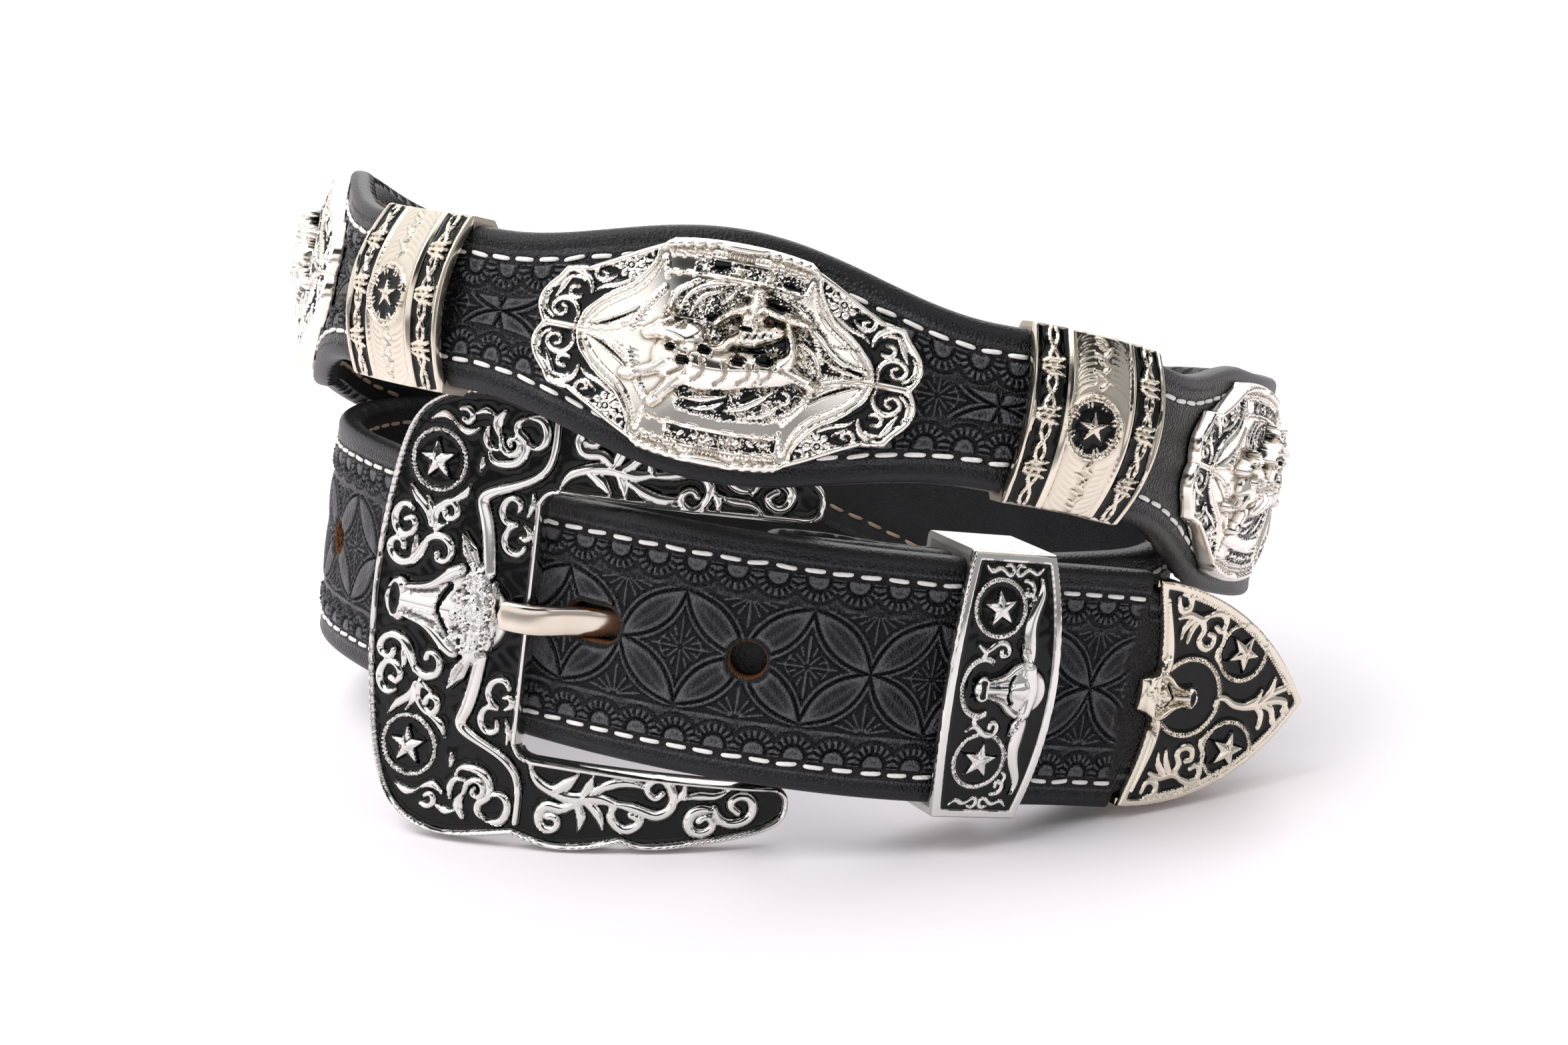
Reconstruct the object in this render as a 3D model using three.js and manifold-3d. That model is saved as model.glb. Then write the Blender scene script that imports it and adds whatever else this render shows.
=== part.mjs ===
// Western concho belt, buckled and coiled in two turns, standing on its lower edge.
// Millimetres, +Z up. The origin lies on the floor under the middle of the belt's box.
import * as THREE from 'three';
import * as BufferGeometryUtils from 'three/addons/utils/BufferGeometryUtils.js';
import Module from 'manifold-3d';

const wasm = await Module();
wasm.setup();

// Driving sizes of the leather
const STRAP_WIDTH = 38;
const STRAP_CONCHO_WIDTH = 36.6;
const STRAP_NARROW = 24.2;
const STRAP_THICKNESS = 4;
const STRAP_SKIVED = 2.2;
const EDGE_CHAMFER = 0.8;
const SCALLOP_HALF = 38;
const SECTION_STEP = 10.1;
const HOLE_FIRST = 96.5;
const HOLE_PITCH = 23.5;
const HOLE_COUNT = 5;
const HOLE_RADIUS = 2.8;
const PRONG_HOLE_HALF = 4.7;
const PRONG_HOLE_SHIFT = 0.7;
const PRONG_HOLE_RISE = 0.5;

// Driving sizes of the fittings
const GAP = 0.3;
const CONCHO_CENTRE_X = -8.2;
const CONCHO_PITCH = 108;
const BAND_OFFSET = 53;
const BAND_LENGTH = 21;
const BAND_HALF_HEIGHT = 13.3;
const BAND_WALL = 0.85;
const BAND_RISE = 4;
const BAND_CORNER = 1.1;
const BAND_GAP = 0.45;
const KEEPER_ARC = 59.6;
const TIP_LENGTH = 32.4;
const TIP_HALF_HEIGHT = 18.1;
const TIP_ARCH_RADIUS = 37.3;
const BUCKLE_RADIUS = 80;
const BUCKLE_RIGHT = [1.5, -10.5];
const BUCKLE_LEFT = [-64.5, 2];
const BUCKLE_SHIFT = 0.6;
const BAR_ARC = 32.5;
const BAR_RADIUS = 2;
const FOLD_RADIUS = 3.4;
const PRONG_WIDTH = 4.6;
const PRONG_THICKNESS = 2;
const PRONG_V = 2;

// The two turns lie in two leaning planes: height falls by these shares per millimetre of x and y
const LOWER_TURN = { fallX: 0.123, fallY: 0.105, height: 27.5 };
const UPPER_TURN = { fallX: 0.199, fallY: 0.234, height: 71.1 };
const planeHeight = (turn, x, y) => turn.height - turn.fallX * x - turn.fallY * y;

// Stations of the strap's middle line, from the free tip round two turns to the buckle.
// Columns: x, y, z, leanX, leanY. The lean is how far the strap's width tips over per unit of height.
const lower = (x, y, lift = 0) => [
  x, y, planeHeight(LOWER_TURN, x, y) + lift, LOWER_TURN.fallX, LOWER_TURN.fallY,
];
const upper = (x, y) => [x, y, planeHeight(UPPER_TURN, x, y), UPPER_TURN.fallX, UPPER_TURN.fallY];
const STATIONS = [
  lower(82, 15.8, -2.7),
  lower(60.5, 4.6, -1.8),
  lower(45, -3.4, -0.7),
  lower(30, -11.2, 0),
  lower(15, -16.4, 0.5),
  lower(-1, -17.6, 0.9),
  lower(-17, -15, 1.2),
  lower(-32, -8.2, 1.3),
  lower(-46, 2.5, 1.1),
  lower(-58, 16, 0.8),
  lower(-68.5, 32, 0.4),
  lower(-75.5, 49),
  lower(-76.5, 67),
  lower(-69.5, 85),
  lower(-55, 99),
  [-36, 108, 20.5, 0.12, 0.08],
  [-14, 112.5, 19, 0.05, 0.05],
  [9, 112.5, 19.8, 0.02, 0.02],
  [31, 107.5, 23.5, 0, 0],
  [51, 98.5, 28, 0.02, 0.02],
  [66.5, 89.5, 31.4, 0.05, 0.05],
  [77.2, 76, 34, 0.1, 0.1],
  [80.8, 59.5, 36.8, 0.12, 0.15],
  [77.4, 43.5, 40.8, 0.12, 0.16],
  [70.8, 28.5, 46, 0.13, 0.17],
  [63.8, 13.6, 52, 0.16, 0.19],
  [57.2, 0.8, 57.8, 0.18, 0.21],
  upper(46.8, -10.9),
  upper(28.8, -17.7),
  upper(10, -20.1),
  upper(-10, -19.5),
  upper(-28.9, -14.7),
  upper(-45.8, -4.7),
  upper(-59.3, 9.2),
  [-67.8, 24.4, 79.7, 0.24, 0.22],
  [-72.2, 42, 76.6, 0.22, 0.2],
  [-74.9, 60, 72.9, 0.2, 0.18],
  [-75.3, 75.5, 68.8, 0.2, 0.18],
  [-70.4, 88.8, 61.8, 0.15, 0.15],
  [-60, 97.5, 56, 0.08, 0.08],
  [-45, 101.6, 52, 0.05, 0.05],
  [-26, 102, 48.8, 0.05, 0.05],
  [-5, 101.5, 43.1, 0.05, 0.05],
  [15.5, 96.5, 36.1, 0.05, 0.05],
  [34.5, 86.5, 28.8, 0.05, 0.05],
  [49.5, 72, 22.8, 0.05, 0.05],
  [59, 54, 19.6, 0.05, 0.05],
  [61.5, 35, 19.05, 0.07, 0.07],
  [56, 16.5, 19.3, 0.12, 0.1],
  lower(43.5, 3.2),
];

// The buckle end lies behind the billet. Columns: arc length on the billet, distance behind its middle
const BEHIND_BILLET = [
  { arc: 62, depth: 4.4 },
  { arc: 70, depth: 4.4 },
  { arc: 82, depth: 3.7 },
];

// The folded tab behind that. Columns as above
const TAB = [
  { arc: 87, depth: 9.6 },
  { arc: 80, depth: 8.2 },
  { arc: 70, depth: 7.9 },
  { arc: 60, depth: 7.9 },
  { arc: 50, depth: 7.9 },
];

// Curves

/** Natural cubic spline through rows of values at the given knots. */
function naturalSpline(knots, rows) {
  const count = knots.length;
  const width = rows[0].length;
  const step = knots.slice(1).map((knot, i) => knot - knots[i]);
  const bend = rows.map(() => new Array(width).fill(0));
  for (let c = 0; c < width; c++) {
    const upperBand = new Array(count).fill(0);
    const right = new Array(count).fill(0);
    for (let i = 1; i < count - 1; i++) {
      const slopeAfter = (rows[i + 1][c] - rows[i][c]) / step[i];
      const slopeBefore = (rows[i][c] - rows[i - 1][c]) / step[i - 1];
      const pivot = 2 * (step[i - 1] + step[i]) - step[i - 1] * upperBand[i - 1];
      upperBand[i] = step[i] / pivot;
      right[i] = (6 * (slopeAfter - slopeBefore) - step[i - 1] * right[i - 1]) / pivot;
    }
    for (let i = count - 2; i > 0; i--) {
      bend[i][c] = right[i] - upperBand[i] * bend[i + 1][c];
    }
  }
  return (t) => {
    let i = 0;
    while (i < count - 2 && t > knots[i + 1]) {
      i++;
    }
    const a = (knots[i + 1] - t) / step[i];
    const b = (t - knots[i]) / step[i];
    return rows[i].map((value, c) => a * value + b * rows[i + 1][c]
      + ((a ** 3 - a) * bend[i][c] + (b ** 3 - b) * bend[i + 1][c]) * step[i] ** 2 / 6);
  };
}

/** A strap's middle line with its frame: along the strap, across its width, and out of its face. */
class StrapPath {
  constructor(stations, samples) {
    const knots = [0];
    for (let i = 1; i < stations.length; i++) {
      const [a, b] = [stations[i - 1], stations[i]];
      knots.push(knots[i - 1] + Math.hypot(b[0] - a[0], b[1] - a[1], b[2] - a[2]));
    }
    const curve = naturalSpline(knots, stations);
    const last = knots[knots.length - 1];
    const rows = Array.from({ length: samples }, (_, i) => curve(last * i / (samples - 1)));
    this.points = rows.map((row) => new THREE.Vector3(row[0], row[1], row[2]));
    this.arcs = [0];
    for (let i = 1; i < samples; i++) {
      this.arcs.push(this.arcs[i - 1] + this.points[i].distanceTo(this.points[i - 1]));
    }
    this.along = this.points.map((_, i) => {
      const before = this.points[Math.max(i - 1, 0)];
      const after = this.points[Math.min(i + 1, samples - 1)];
      return after.clone().sub(before).normalize();
    });
    this.across = rows.map((row, i) => {
      const lean = new THREE.Vector3(row[3], row[4], 1);
      return lean.addScaledVector(this.along[i], -lean.dot(this.along[i])).normalize();
    });
    this.length = this.arcs[samples - 1];
  }

  /** Frame at an arc length, between the samples on each side of it. */
  at(arc) {
    let low = 0;
    let high = this.arcs.length - 1;
    while (high - low > 1) {
      const middle = (low + high) >> 1;
      if (this.arcs[middle] <= arc) {
        low = middle;
      } else {
        high = middle;
      }
    }
    const share = (arc - this.arcs[low]) / (this.arcs[high] - this.arcs[low]);
    const between = (list) => list[low].clone().lerp(list[high], share);
    const along = between(this.along).normalize();
    const across = between(this.across).normalize();
    return { point: between(this.points), along, across, out: across.clone().cross(along) };
  }

  /** Point at an arc length, a height across the strap and a distance out of its middle. */
  place(arc, height, out) {
    const frame = this.at(arc);
    return frame.point.addScaledVector(frame.across, height).addScaledVector(frame.out, out);
  }

  /** Arc length between two others at which a measure of the frame is smallest. */
  arcOfLeast(measure, from, to) {
    let best = from;
    for (let arc = from; arc < to; arc += 0.1) {
      if (measure(this.at(arc)) < measure(this.at(best))) {
        best = arc;
      }
    }
    return best;
  }

  /** Arc length where the line passes x, looking only at the given stretch. */
  arcAtX(x, from, to) {
    return this.arcOfLeast((frame) => Math.abs(frame.point.x - x), from, to);
  }

  /** Arc length where the line's cross section holds a point, looking only at the given stretch. */
  arcNear(point, from, to) {
    return this.arcOfLeast(
      (frame) => Math.abs(point.clone().sub(frame.point).dot(frame.along)), from, to);
  }
}

// The buckle is bent about an axis that stands along the strap's width
const rise = new THREE.Vector3(LOWER_TURN.fallX, LOWER_TURN.fallY, 1).normalize();
const inPlane = ([x, y]) => new THREE.Vector3(x, y, planeHeight(LOWER_TURN, x, y));
const buckleChord = inPlane(BUCKLE_RIGHT).sub(inPlane(BUCKLE_LEFT));
const buckleAlong = buckleChord.clone().normalize();
const buckleIn = rise.clone().cross(buckleAlong);
const buckleSagitta = BUCKLE_RADIUS - Math.sqrt(BUCKLE_RADIUS ** 2 - (buckleChord.length() / 2) ** 2);
const buckleAxis = inPlane(BUCKLE_RIGHT).add(inPlane(BUCKLE_LEFT)).multiplyScalar(0.5)
  .addScaledVector(buckleIn, BUCKLE_RADIUS - buckleSagitta);

/** Point on the buckle: u along it from its middle, v up its height, w out of its middle face. */
function onBuckle(u, v, w) {
  const angle = u / BUCKLE_RADIUS;
  return buckleAxis.clone()
    .addScaledVector(buckleAlong, (BUCKLE_RADIUS + w) * Math.sin(angle))
    .addScaledVector(buckleIn, -(BUCKLE_RADIUS + w) * Math.cos(angle))
    .addScaledVector(rise, v + BUCKLE_SHIFT);
}

const barCentre = onBuckle(BAR_ARC, 0, 0);

const billetPath = new StrapPath(STATIONS.slice(0, 14), 900);
const nearBar = billetPath.arcNear(barCentre, 80, 100);
const behindStations = BEHIND_BILLET.map(({ arc, depth }) => billetPath.place(arc, 0, -depth));
behindStations.push(barCentre.clone().addScaledVector(billetPath.at(nearBar).out, FOLD_RADIUS));
const path = new StrapPath([
  ...STATIONS,
  ...behindStations.map(({ x, y, z }) => [x, y, z, LOWER_TURN.fallX, LOWER_TURN.fallY]),
], 2600);
const conchoArc = path.arcAtX(CONCHO_CENTRE_X, 480, 740);

// Solids

/** Closed body through rings of points. The two end faces are cut into triangles by flat outlines. */
function loft(rings, endOutlines) {
  const size = rings[0].length;
  const positions = rings.flat().flatMap((point) => point.toArray());
  const index = [];
  for (let i = 0; i < rings.length - 1; i++) {
    for (let j = 0; j < size; j++) {
      const next = (j + 1) % size;
      const [a, b] = [i * size + j, i * size + next];
      index.push(a, a + size, b, b, a + size, b + size);
    }
  }
  const last = (rings.length - 1) * size;
  const flat = (outline) => outline.map(([x, y]) => new THREE.Vector2(x, y));
  const round = circle(0, 0, 1, size);
  const [first, final] = endOutlines ?? [round, round];
  for (const [a, b, c] of THREE.ShapeUtils.triangulateShape(flat(first), [])) {
    index.push(...(THREE.ShapeUtils.isClockWise(flat(first)) ? [a, c, b] : [a, b, c]));
  }
  for (const [a, b, c] of THREE.ShapeUtils.triangulateShape(flat(final), [])) {
    const turned = THREE.ShapeUtils.isClockWise(flat(final)) ? [a, b, c] : [a, c, b];
    index.push(...turned.map((k) => last + k));
  }
  const geometry = new THREE.BufferGeometry();
  geometry.setAttribute('position', new THREE.Float32BufferAttribute(positions, 3));
  geometry.setIndex(index);
  return geometry;
}

/** Signed volume of a closed body, which is negative where its faces point inwards. */
function signedVolume(geometry) {
  const position = geometry.attributes.position;
  const index = geometry.index.array;
  let volume = 0;
  const [a, b, c] = [new THREE.Vector3(), new THREE.Vector3(), new THREE.Vector3()];
  for (let i = 0; i < index.length; i += 3) {
    a.fromBufferAttribute(position, index[i]);
    b.fromBufferAttribute(position, index[i + 1]);
    c.fromBufferAttribute(position, index[i + 2]);
    volume += a.dot(b.cross(c)) / 6;
  }
  return volume;
}

/** Manifold solid of a closed geometry, with its faces turned to point out. */
function solid(geometry) {
  const bare = geometry.clone();
  bare.deleteAttribute('normal');
  bare.deleteAttribute('uv');
  const merged = BufferGeometryUtils.mergeVertices(bare, 1e-4);
  const triVerts = Uint32Array.from(merged.index.array);
  if (signedVolume(merged) < 0) {
    for (let i = 0; i < triVerts.length; i += 3) {
      [triVerts[i + 1], triVerts[i + 2]] = [triVerts[i + 2], triVerts[i + 1]];
    }
  }
  const vertProperties = Float32Array.from(merged.attributes.position.array);
  return new wasm.Manifold(new wasm.Mesh({ numProp: 3, vertProperties, triVerts }));
}

const joined = (base, pieces) => pieces.reduce((sum, piece) => sum.add(piece), base);
const cut = (base, pieces) => pieces.reduce((rest, piece) => rest.subtract(piece), base);

/** BufferGeometry of a manifold solid. */
function geometryOf(body) {
  const mesh = body.getMesh();
  const geometry = new THREE.BufferGeometry();
  geometry.setAttribute('position', new THREE.BufferAttribute(mesh.vertProperties, 3));
  geometry.setIndex(new THREE.BufferAttribute(mesh.triVerts, 1));
  geometry.computeVertexNormals();
  return geometry;
}

/** Evenly spaced shares from 0 to 1. */
const evenly = (count) => Array.from({ length: count }, (_, i) => i / (count - 1));

/** Plate with a shaped front: each column runs from its low to its high edge, with rows of points. */
function plate(place, columns, rows, back, front, backShares = [0, 1]) {
  const outlines = columns.map(({ u, low, high }) => {
    const heights = (shares) => shares.map((share) => low + (high - low) * share);
    return [
      ...heights(evenly(rows)).map((v) => [v, front(u, v)]),
      ...heights(backShares).reverse().map((v) => [v, back(u, v)]),
    ];
  });
  const rings = outlines.map((outline, i) => outline.map(([v, w]) => place(columns[i].u, v, w)));
  return solid(loft(rings, [outlines[0], outlines[outlines.length - 1]]));
}

/** Plate of even thickness whose front edges along both sides of its columns are chamfered. */
function chamferedPlate(place, columns, back, front, chamfer) {
  const outlines = columns.map(({ low, high }) => [
    [low, back], [low, front - chamfer], [low + chamfer, front],
    [high - chamfer, front], [high, front - chamfer], [high, back],
  ]);
  const rings = outlines.map((outline, i) => outline.map(([v, w]) => place(columns[i].u, v, w)));
  return solid(loft(rings, [outlines[0], outlines[outlines.length - 1]]));
}

/** Outline raised from one height to another on a curved face. */
function raised(place, outline, from, to) {
  const shape = new THREE.Shape(outline.map(([u, v]) => new THREE.Vector2(u, v)));
  const geometry = new THREE.ExtrudeGeometry(shape, { depth: to - from, bevelEnabled: false });
  const position = geometry.attributes.position;
  for (let i = 0; i < position.count; i++) {
    const point = place(position.getX(i), position.getY(i), position.getZ(i) + from);
    position.setXYZ(i, point.x, point.y, point.z);
  }
  return solid(geometry);
}

const SHARP = [[-1, 0], [0, 1], [1, 0]];
const ROUND = [[-1, 0], [-0.6, 1], [0.6, 1], [1, 0]];

/** Ridge along points of a curved face: a scroll with a sharp section, or a limb with a round one. */
function ridge(place, points, halfWidth, from, to, section = SHARP) {
  const rings = points.map(([u, v], i) => {
    const before = points[Math.max(i - 1, 0)];
    const after = points[Math.min(i + 1, points.length - 1)];
    const along = new THREE.Vector2(after[0] - before[0], after[1] - before[1]).normalize();
    const atEnd = i === 0 || i === points.length - 1;
    const half = atEnd ? halfWidth * 0.6 : halfWidth;
    return section.map(([side, up]) => place(
      u - along.y * side * half, v + along.x * side * half, from + (to - from) * up));
  });
  return solid(loft(rings, [section, section]));
}

const circle = (u, v, radius, sides) => Array.from({ length: sides }, (_, i) => {
  const angle = 2 * Math.PI * i / sides;
  return [u + radius * Math.cos(angle), v + radius * Math.sin(angle)];
});

const obround = (from, to, v, radius) => Array.from({ length: 12 }, (_, i) => {
  const angle = Math.PI * (i < 6 ? i / 5 - 0.5 : (i - 6) / 5 + 0.5);
  return [(i < 6 ? to : from) + radius * Math.cos(angle), v + radius * Math.sin(angle)];
});

const starOutline = (u, v, radius, turn = 0) => Array.from({ length: 10 }, (_, i) => {
  const reach = i % 2 ? radius * 0.42 : radius;
  const angle = Math.PI / 2 + turn + Math.PI * i / 5;
  return [u + reach * Math.cos(angle), v + reach * Math.sin(angle)];
});

/** Star on a raised disc of a curved face. */
function starDisc(place, u, v, radius, from, to) {
  const disc = raised(place, circle(u, v, radius, 10), from, to - 0.4);
  return disc.add(raised(place, starOutline(u, v, radius * 0.75), from, to + 0.2));
}

/** Columns of a plate that is symmetric about v = 0, from pairs of u and half height. */
const mirroredColumns = (pairs) => pairs.map(([u, half]) => ({ u, low: -half, high: half }));

const bodies = new Map();

// Leather strap: one piece from the free tip to the tab folded round the buckle's bar

const TIP_POCKET_WALL = 1.1;
const STRAP_START = 17;
const STRAP_STEP_ARC = TIP_LENGTH + 0.9;
const TIP_ARCS = [0.4, 1.6, 4, 8, 13, 19, 26, TIP_LENGTH];
const tipHalfHeight = (arc) => {
  const back = TIP_LENGTH - Math.min(arc, TIP_LENGTH);
  return Math.sqrt(TIP_ARCH_RADIUS ** 2 - back ** 2) - (TIP_ARCH_RADIUS - TIP_HALF_HEIGHT);
};

/** Full width of the leather: it is narrow under the bands and wide under the conchos. */
function strapWidth(arc) {
  if (arc < STRAP_STEP_ARC) {
    return 2 * (tipHalfHeight(arc) - TIP_POCKET_WALL - GAP);
  }
  const fromConcho = Math.abs(arc - conchoArc);
  if (fromConcho > CONCHO_PITCH) {
    const share = Math.min((fromConcho - CONCHO_PITCH) / SCALLOP_HALF, 1);
    return THREE.MathUtils.lerp(STRAP_CONCHO_WIDTH, STRAP_WIDTH, share);
  }
  const nearest = Math.abs(((fromConcho + CONCHO_PITCH / 2) % CONCHO_PITCH) - CONCHO_PITCH / 2);
  const share = Math.min(nearest / SCALLOP_HALF, 1);
  const bell = 0.5 + 0.5 * Math.cos(Math.PI * share);
  return STRAP_NARROW + (STRAP_CONCHO_WIDTH - STRAP_NARROW) * bell;
}

/** Leather thickness: skived thin over the last stretch before the fold. */
function strapThickness(arc) {
  const fromFold = path.length - arc;
  const share = THREE.MathUtils.clamp((fromFold - 10) / 12, 0, 1);
  return THREE.MathUtils.lerp(STRAP_SKIVED, STRAP_THICKNESS, share);
}

/** Ring of eight points: a flat rectangle with its four edges chamfered. */
function strapRing(point, across, out, width, thickness) {
  const [w, t] = [width / 2, thickness / 2];
  const chamfer = Math.min(EDGE_CHAMFER, t * 0.45);
  const corners = [
    [w, t - chamfer], [w - chamfer, t], [chamfer - w, t], [-w, t - chamfer],
    [-w, chamfer - t], [chamfer - w, -t], [w - chamfer, -t], [w, chamfer - t],
  ];
  return corners.map(([v, o]) => point.clone().addScaledVector(across, v).addScaledVector(out, o));
}

function buildStrap() {
  const arcs = [STRAP_START, ...TIP_ARCS.filter((arc) => arc > STRAP_START), STRAP_STEP_ARC];
  const steps = Math.round((path.length - STRAP_STEP_ARC) / SECTION_STEP);
  for (let i = 1; i < steps; i++) {
    arcs.push(STRAP_STEP_ARC + (path.length - STRAP_STEP_ARC) * i / steps);
  }
  const rings = arcs.map((arc) => {
    const { point, across, out } = path.at(arc);
    return strapRing(point, across, out, strapWidth(arc), strapThickness(arc));
  });

  // Half circle round the buckle's bar, which stands behind the end of the path
  const forward = path.at(path.length).out.projectOnPlane(rise).normalize();
  const sideways = forward.clone().cross(rise);
  for (let i = 0; i <= 6; i++) {
    const angle = Math.PI * i / 6;
    const out = forward.clone().multiplyScalar(Math.cos(angle))
      .addScaledVector(sideways, Math.sin(angle));
    const point = barCentre.clone().addScaledVector(out, FOLD_RADIUS);
    rings.push(strapRing(point, rise, out, STRAP_WIDTH - 0.6, STRAP_SKIVED));
  }

  // Tab that lies back behind the strap
  for (const { arc, depth } of TAB) {
    const frame = billetPath.at(arc);
    const point = frame.point.addScaledVector(frame.out, -depth);
    rings.push(strapRing(point, frame.across, frame.out.negate(), STRAP_WIDTH - 1, STRAP_SKIVED));
  }

  const place = (u, v, w) => path.place(u, v, w);
  const holes = Array.from({ length: HOLE_COUNT }, (_, i) => {
    const arc = HOLE_FIRST + i * HOLE_PITCH;
    if (i !== 1) {
      return raised(place, circle(arc, 0, HOLE_RADIUS, 10), -4, 4);
    }
    const middle = arc + PRONG_HOLE_SHIFT;
    const stretch = PRONG_HOLE_HALF - HOLE_RADIUS;
    const outline = obround(middle - stretch, middle + stretch, PRONG_HOLE_RISE, HOLE_RADIUS);
    return raised(place, outline, -3.4, 4);
  });

  // Slot in the fold for the ring of the prong
  const half = PRONG_WIDTH / 2 + 0.6;
  const slotColumns = [26, 29, 32, 35, 37].map((u) => ({ u, low: PRONG_V - half, high: PRONG_V + half }));
  const slotPlace = (u, v, w) => onBuckle(u, v - BUCKLE_SHIFT, w);
  const slot = plate(slotPlace, slotColumns, 2, () => -9, (u) => 4.5 + 0.26 * (u - BAR_ARC));
  return cut(solid(loft(rings)), [...holes, slot]);
}

bodies.set('strap', buildStrap());

// Buckle: a frame bent about the strap's width, with a bar that the strap folds round

const FRAME_BACK = -1.5;
const GROUND = 0.9;
const RIM = 2;
const WINDOW_LEFT = -5.3;
const WINDOW_HALF = 20.3;
const RIM_WIDTH = 1.5;
const RIM_CHAMFER = 0.8;

// Outline of the frame. Columns: distance along the buckle, height above and below its middle there
const BUCKLE_OUTLINE = [
  { u: -32.6, above: 6, below: 6 },
  { u: -31.8, above: 14, below: 14 },
  { u: -29.8, above: 24, below: 24 },
  { u: -26.4, above: 30.6, below: 31.2 },
  { u: -21, above: 33.5, below: 34.7 },
  { u: -14, above: 34.6, below: 34.7 },
  { u: -5, above: 32.8, below: 32.8 },
  { u: 1, above: 33.9, below: 33.9 },
  { u: 8, above: 32.8, below: 32.8 },
  { u: 11.8, above: 31.6, below: 31.6 },
  { u: 16, above: 32.1, below: 32.1 },
  { u: 25, above: 30.2, below: 30.2 },
  { u: 34, above: 27.4, below: 27.4 },
  { u: 36.6, above: 23.6, below: 23.6 },
];

// Columns: points of one horn, from the head to the upper edge of the plate
const HORN = [[-13, 5], [-13.8, 13], [-14.4, 18], [-8, 21.4], [-5, 25], [-4.4, 30]];

// Columns: points of each scroll on the upper half of the frame
const BUCKLE_SCROLLS = [
  [[-28.8, 17], [-28.6, 12.4], [-25.4, 13], [-22, 15.6], [-18.4, 17.4]],
  [[-29.4, 6.4], [-25.4, 7], [-22.6, 10.6], [-20.2, 8.4]],
  [[-23.6, 29.2], [-18.6, 31], [-15.2, 28], [-15.4, 23.8]],
  [[-10, 18.4], [-11.4, 15.4], [-8.4, 13.6], [-9.6, 10.6]],
  [[-2.4, 23.4], [2, 27.8], [6.6, 25.6], [12.4, 24.2], [15.4, 27]],
  [[17.4, 27.6], [21.6, 24.6], [28, 24.4], [29.4, 26.4]],
];

/** Both halves of a thing that is drawn for the upper half. */
const mirrored = (points) => [points, points.map(([u, v]) => [u, -v])];

function buildBuckle() {
  const outline = BUCKLE_OUTLINE.map(({ u, above, below }) => ({ u, low: -below, high: above }));
  const blank = chamferedPlate(onBuckle, outline, FRAME_BACK, RIM, RIM_CHAMFER);
  const windowColumns = [WINDOW_LEFT, 1, 8, 16, 25, 34, 40].map((u) => [u, WINDOW_HALF]);
  const window = plate(onBuckle, mirroredColumns(windowColumns), 2, () => -6, () => 6);

  // Sunken grounds of the plate and of both arms, each inside a rim
  const inset = ({ u, low, high }) => ({ u, low: low + RIM_WIDTH, high: high - RIM_WIDTH });
  const plateField = outline.filter(({ u }) => u < WINDOW_LEFT - RIM_WIDTH).map(inset);
  plateField[0].u += RIM_WIDTH;
  plateField.push({ ...plateField[plateField.length - 1], u: WINDOW_LEFT - RIM_WIDTH });
  const armField = outline.filter(({ u }) => u > WINDOW_LEFT && u < 35).map(inset);
  const windowEdge = WINDOW_HALF + RIM_WIDTH;
  const fields = [
    plateField,
    armField.map(({ u, high }) => ({ u, low: windowEdge, high })),
    armField.map(({ u, low }) => ({ u, low, high: -windowEdge })),
  ].map((columns) => plate(onBuckle, columns, 2, () => GROUND, () => 5));
  const frame = cut(blank, [window, ...fields]);

  const hinge = new THREE.CylinderGeometry(BAR_RADIUS, BAR_RADIUS, 2 * WINDOW_HALF + 2, 12);
  const turn = new THREE.Quaternion().setFromUnitVectors(new THREE.Vector3(0, 1, 0), rise);
  const middle = onBuckle(BAR_ARC, 0, 0);
  hinge.applyQuaternion(turn).translate(middle.x, middle.y, middle.z);

  const pieces = [solid(hinge)];
  const floor = GROUND - 0.3;
  for (const side of [1, -1]) {
    pieces.push(starDisc(onBuckle, -22.9, side * 22.1, 4.9, floor, RIM));
    const ear = [[-15.2, 6], [-17.6, 7], [-17.2, 10.6], [-14.6, 8.4]].map(([u, v]) => [u, v * side]);
    pieces.push(raised(onBuckle, ear, floor, RIM + 0.3));
  }
  for (const horn of mirrored(HORN)) {
    pieces.push(ridge(onBuckle, horn, 1.1, floor, RIM + 0.2, ROUND));
  }
  for (const scroll of BUCKLE_SCROLLS.flatMap(mirrored)) {
    pieces.push(ridge(onBuckle, scroll, 1, floor, RIM));
  }
  pieces.push(plate(onBuckle, mirroredColumns([
    [-29.8, 2], [-28.2, 3.2], [-24, 2.2], [-19, 3.6], [-16, 5.8], [-13, 6], [-10.9, 4],
  ]), 5, () => floor, (u, v) => RIM + 1.6 - 0.06 * v * v));
  return joined(frame, pieces);
}

bodies.set('buckle', buildBuckle());

// Prong: a ring round the buckle's bar, and an arm through the billet's hole on to the plate's rim

// Columns: distance along the buckle, distance out of its middle face
const PRONG_LINE = [
  [30.2, -1.6], [24, -2.7], [15, -3.9], [9, -3.9], [4.5, -2.5], [0.5, 0], [-2.2, 2.2],
  [-4.6, 3.5], [-7, 3.6], [-9.6, 3.5],
];

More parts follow.
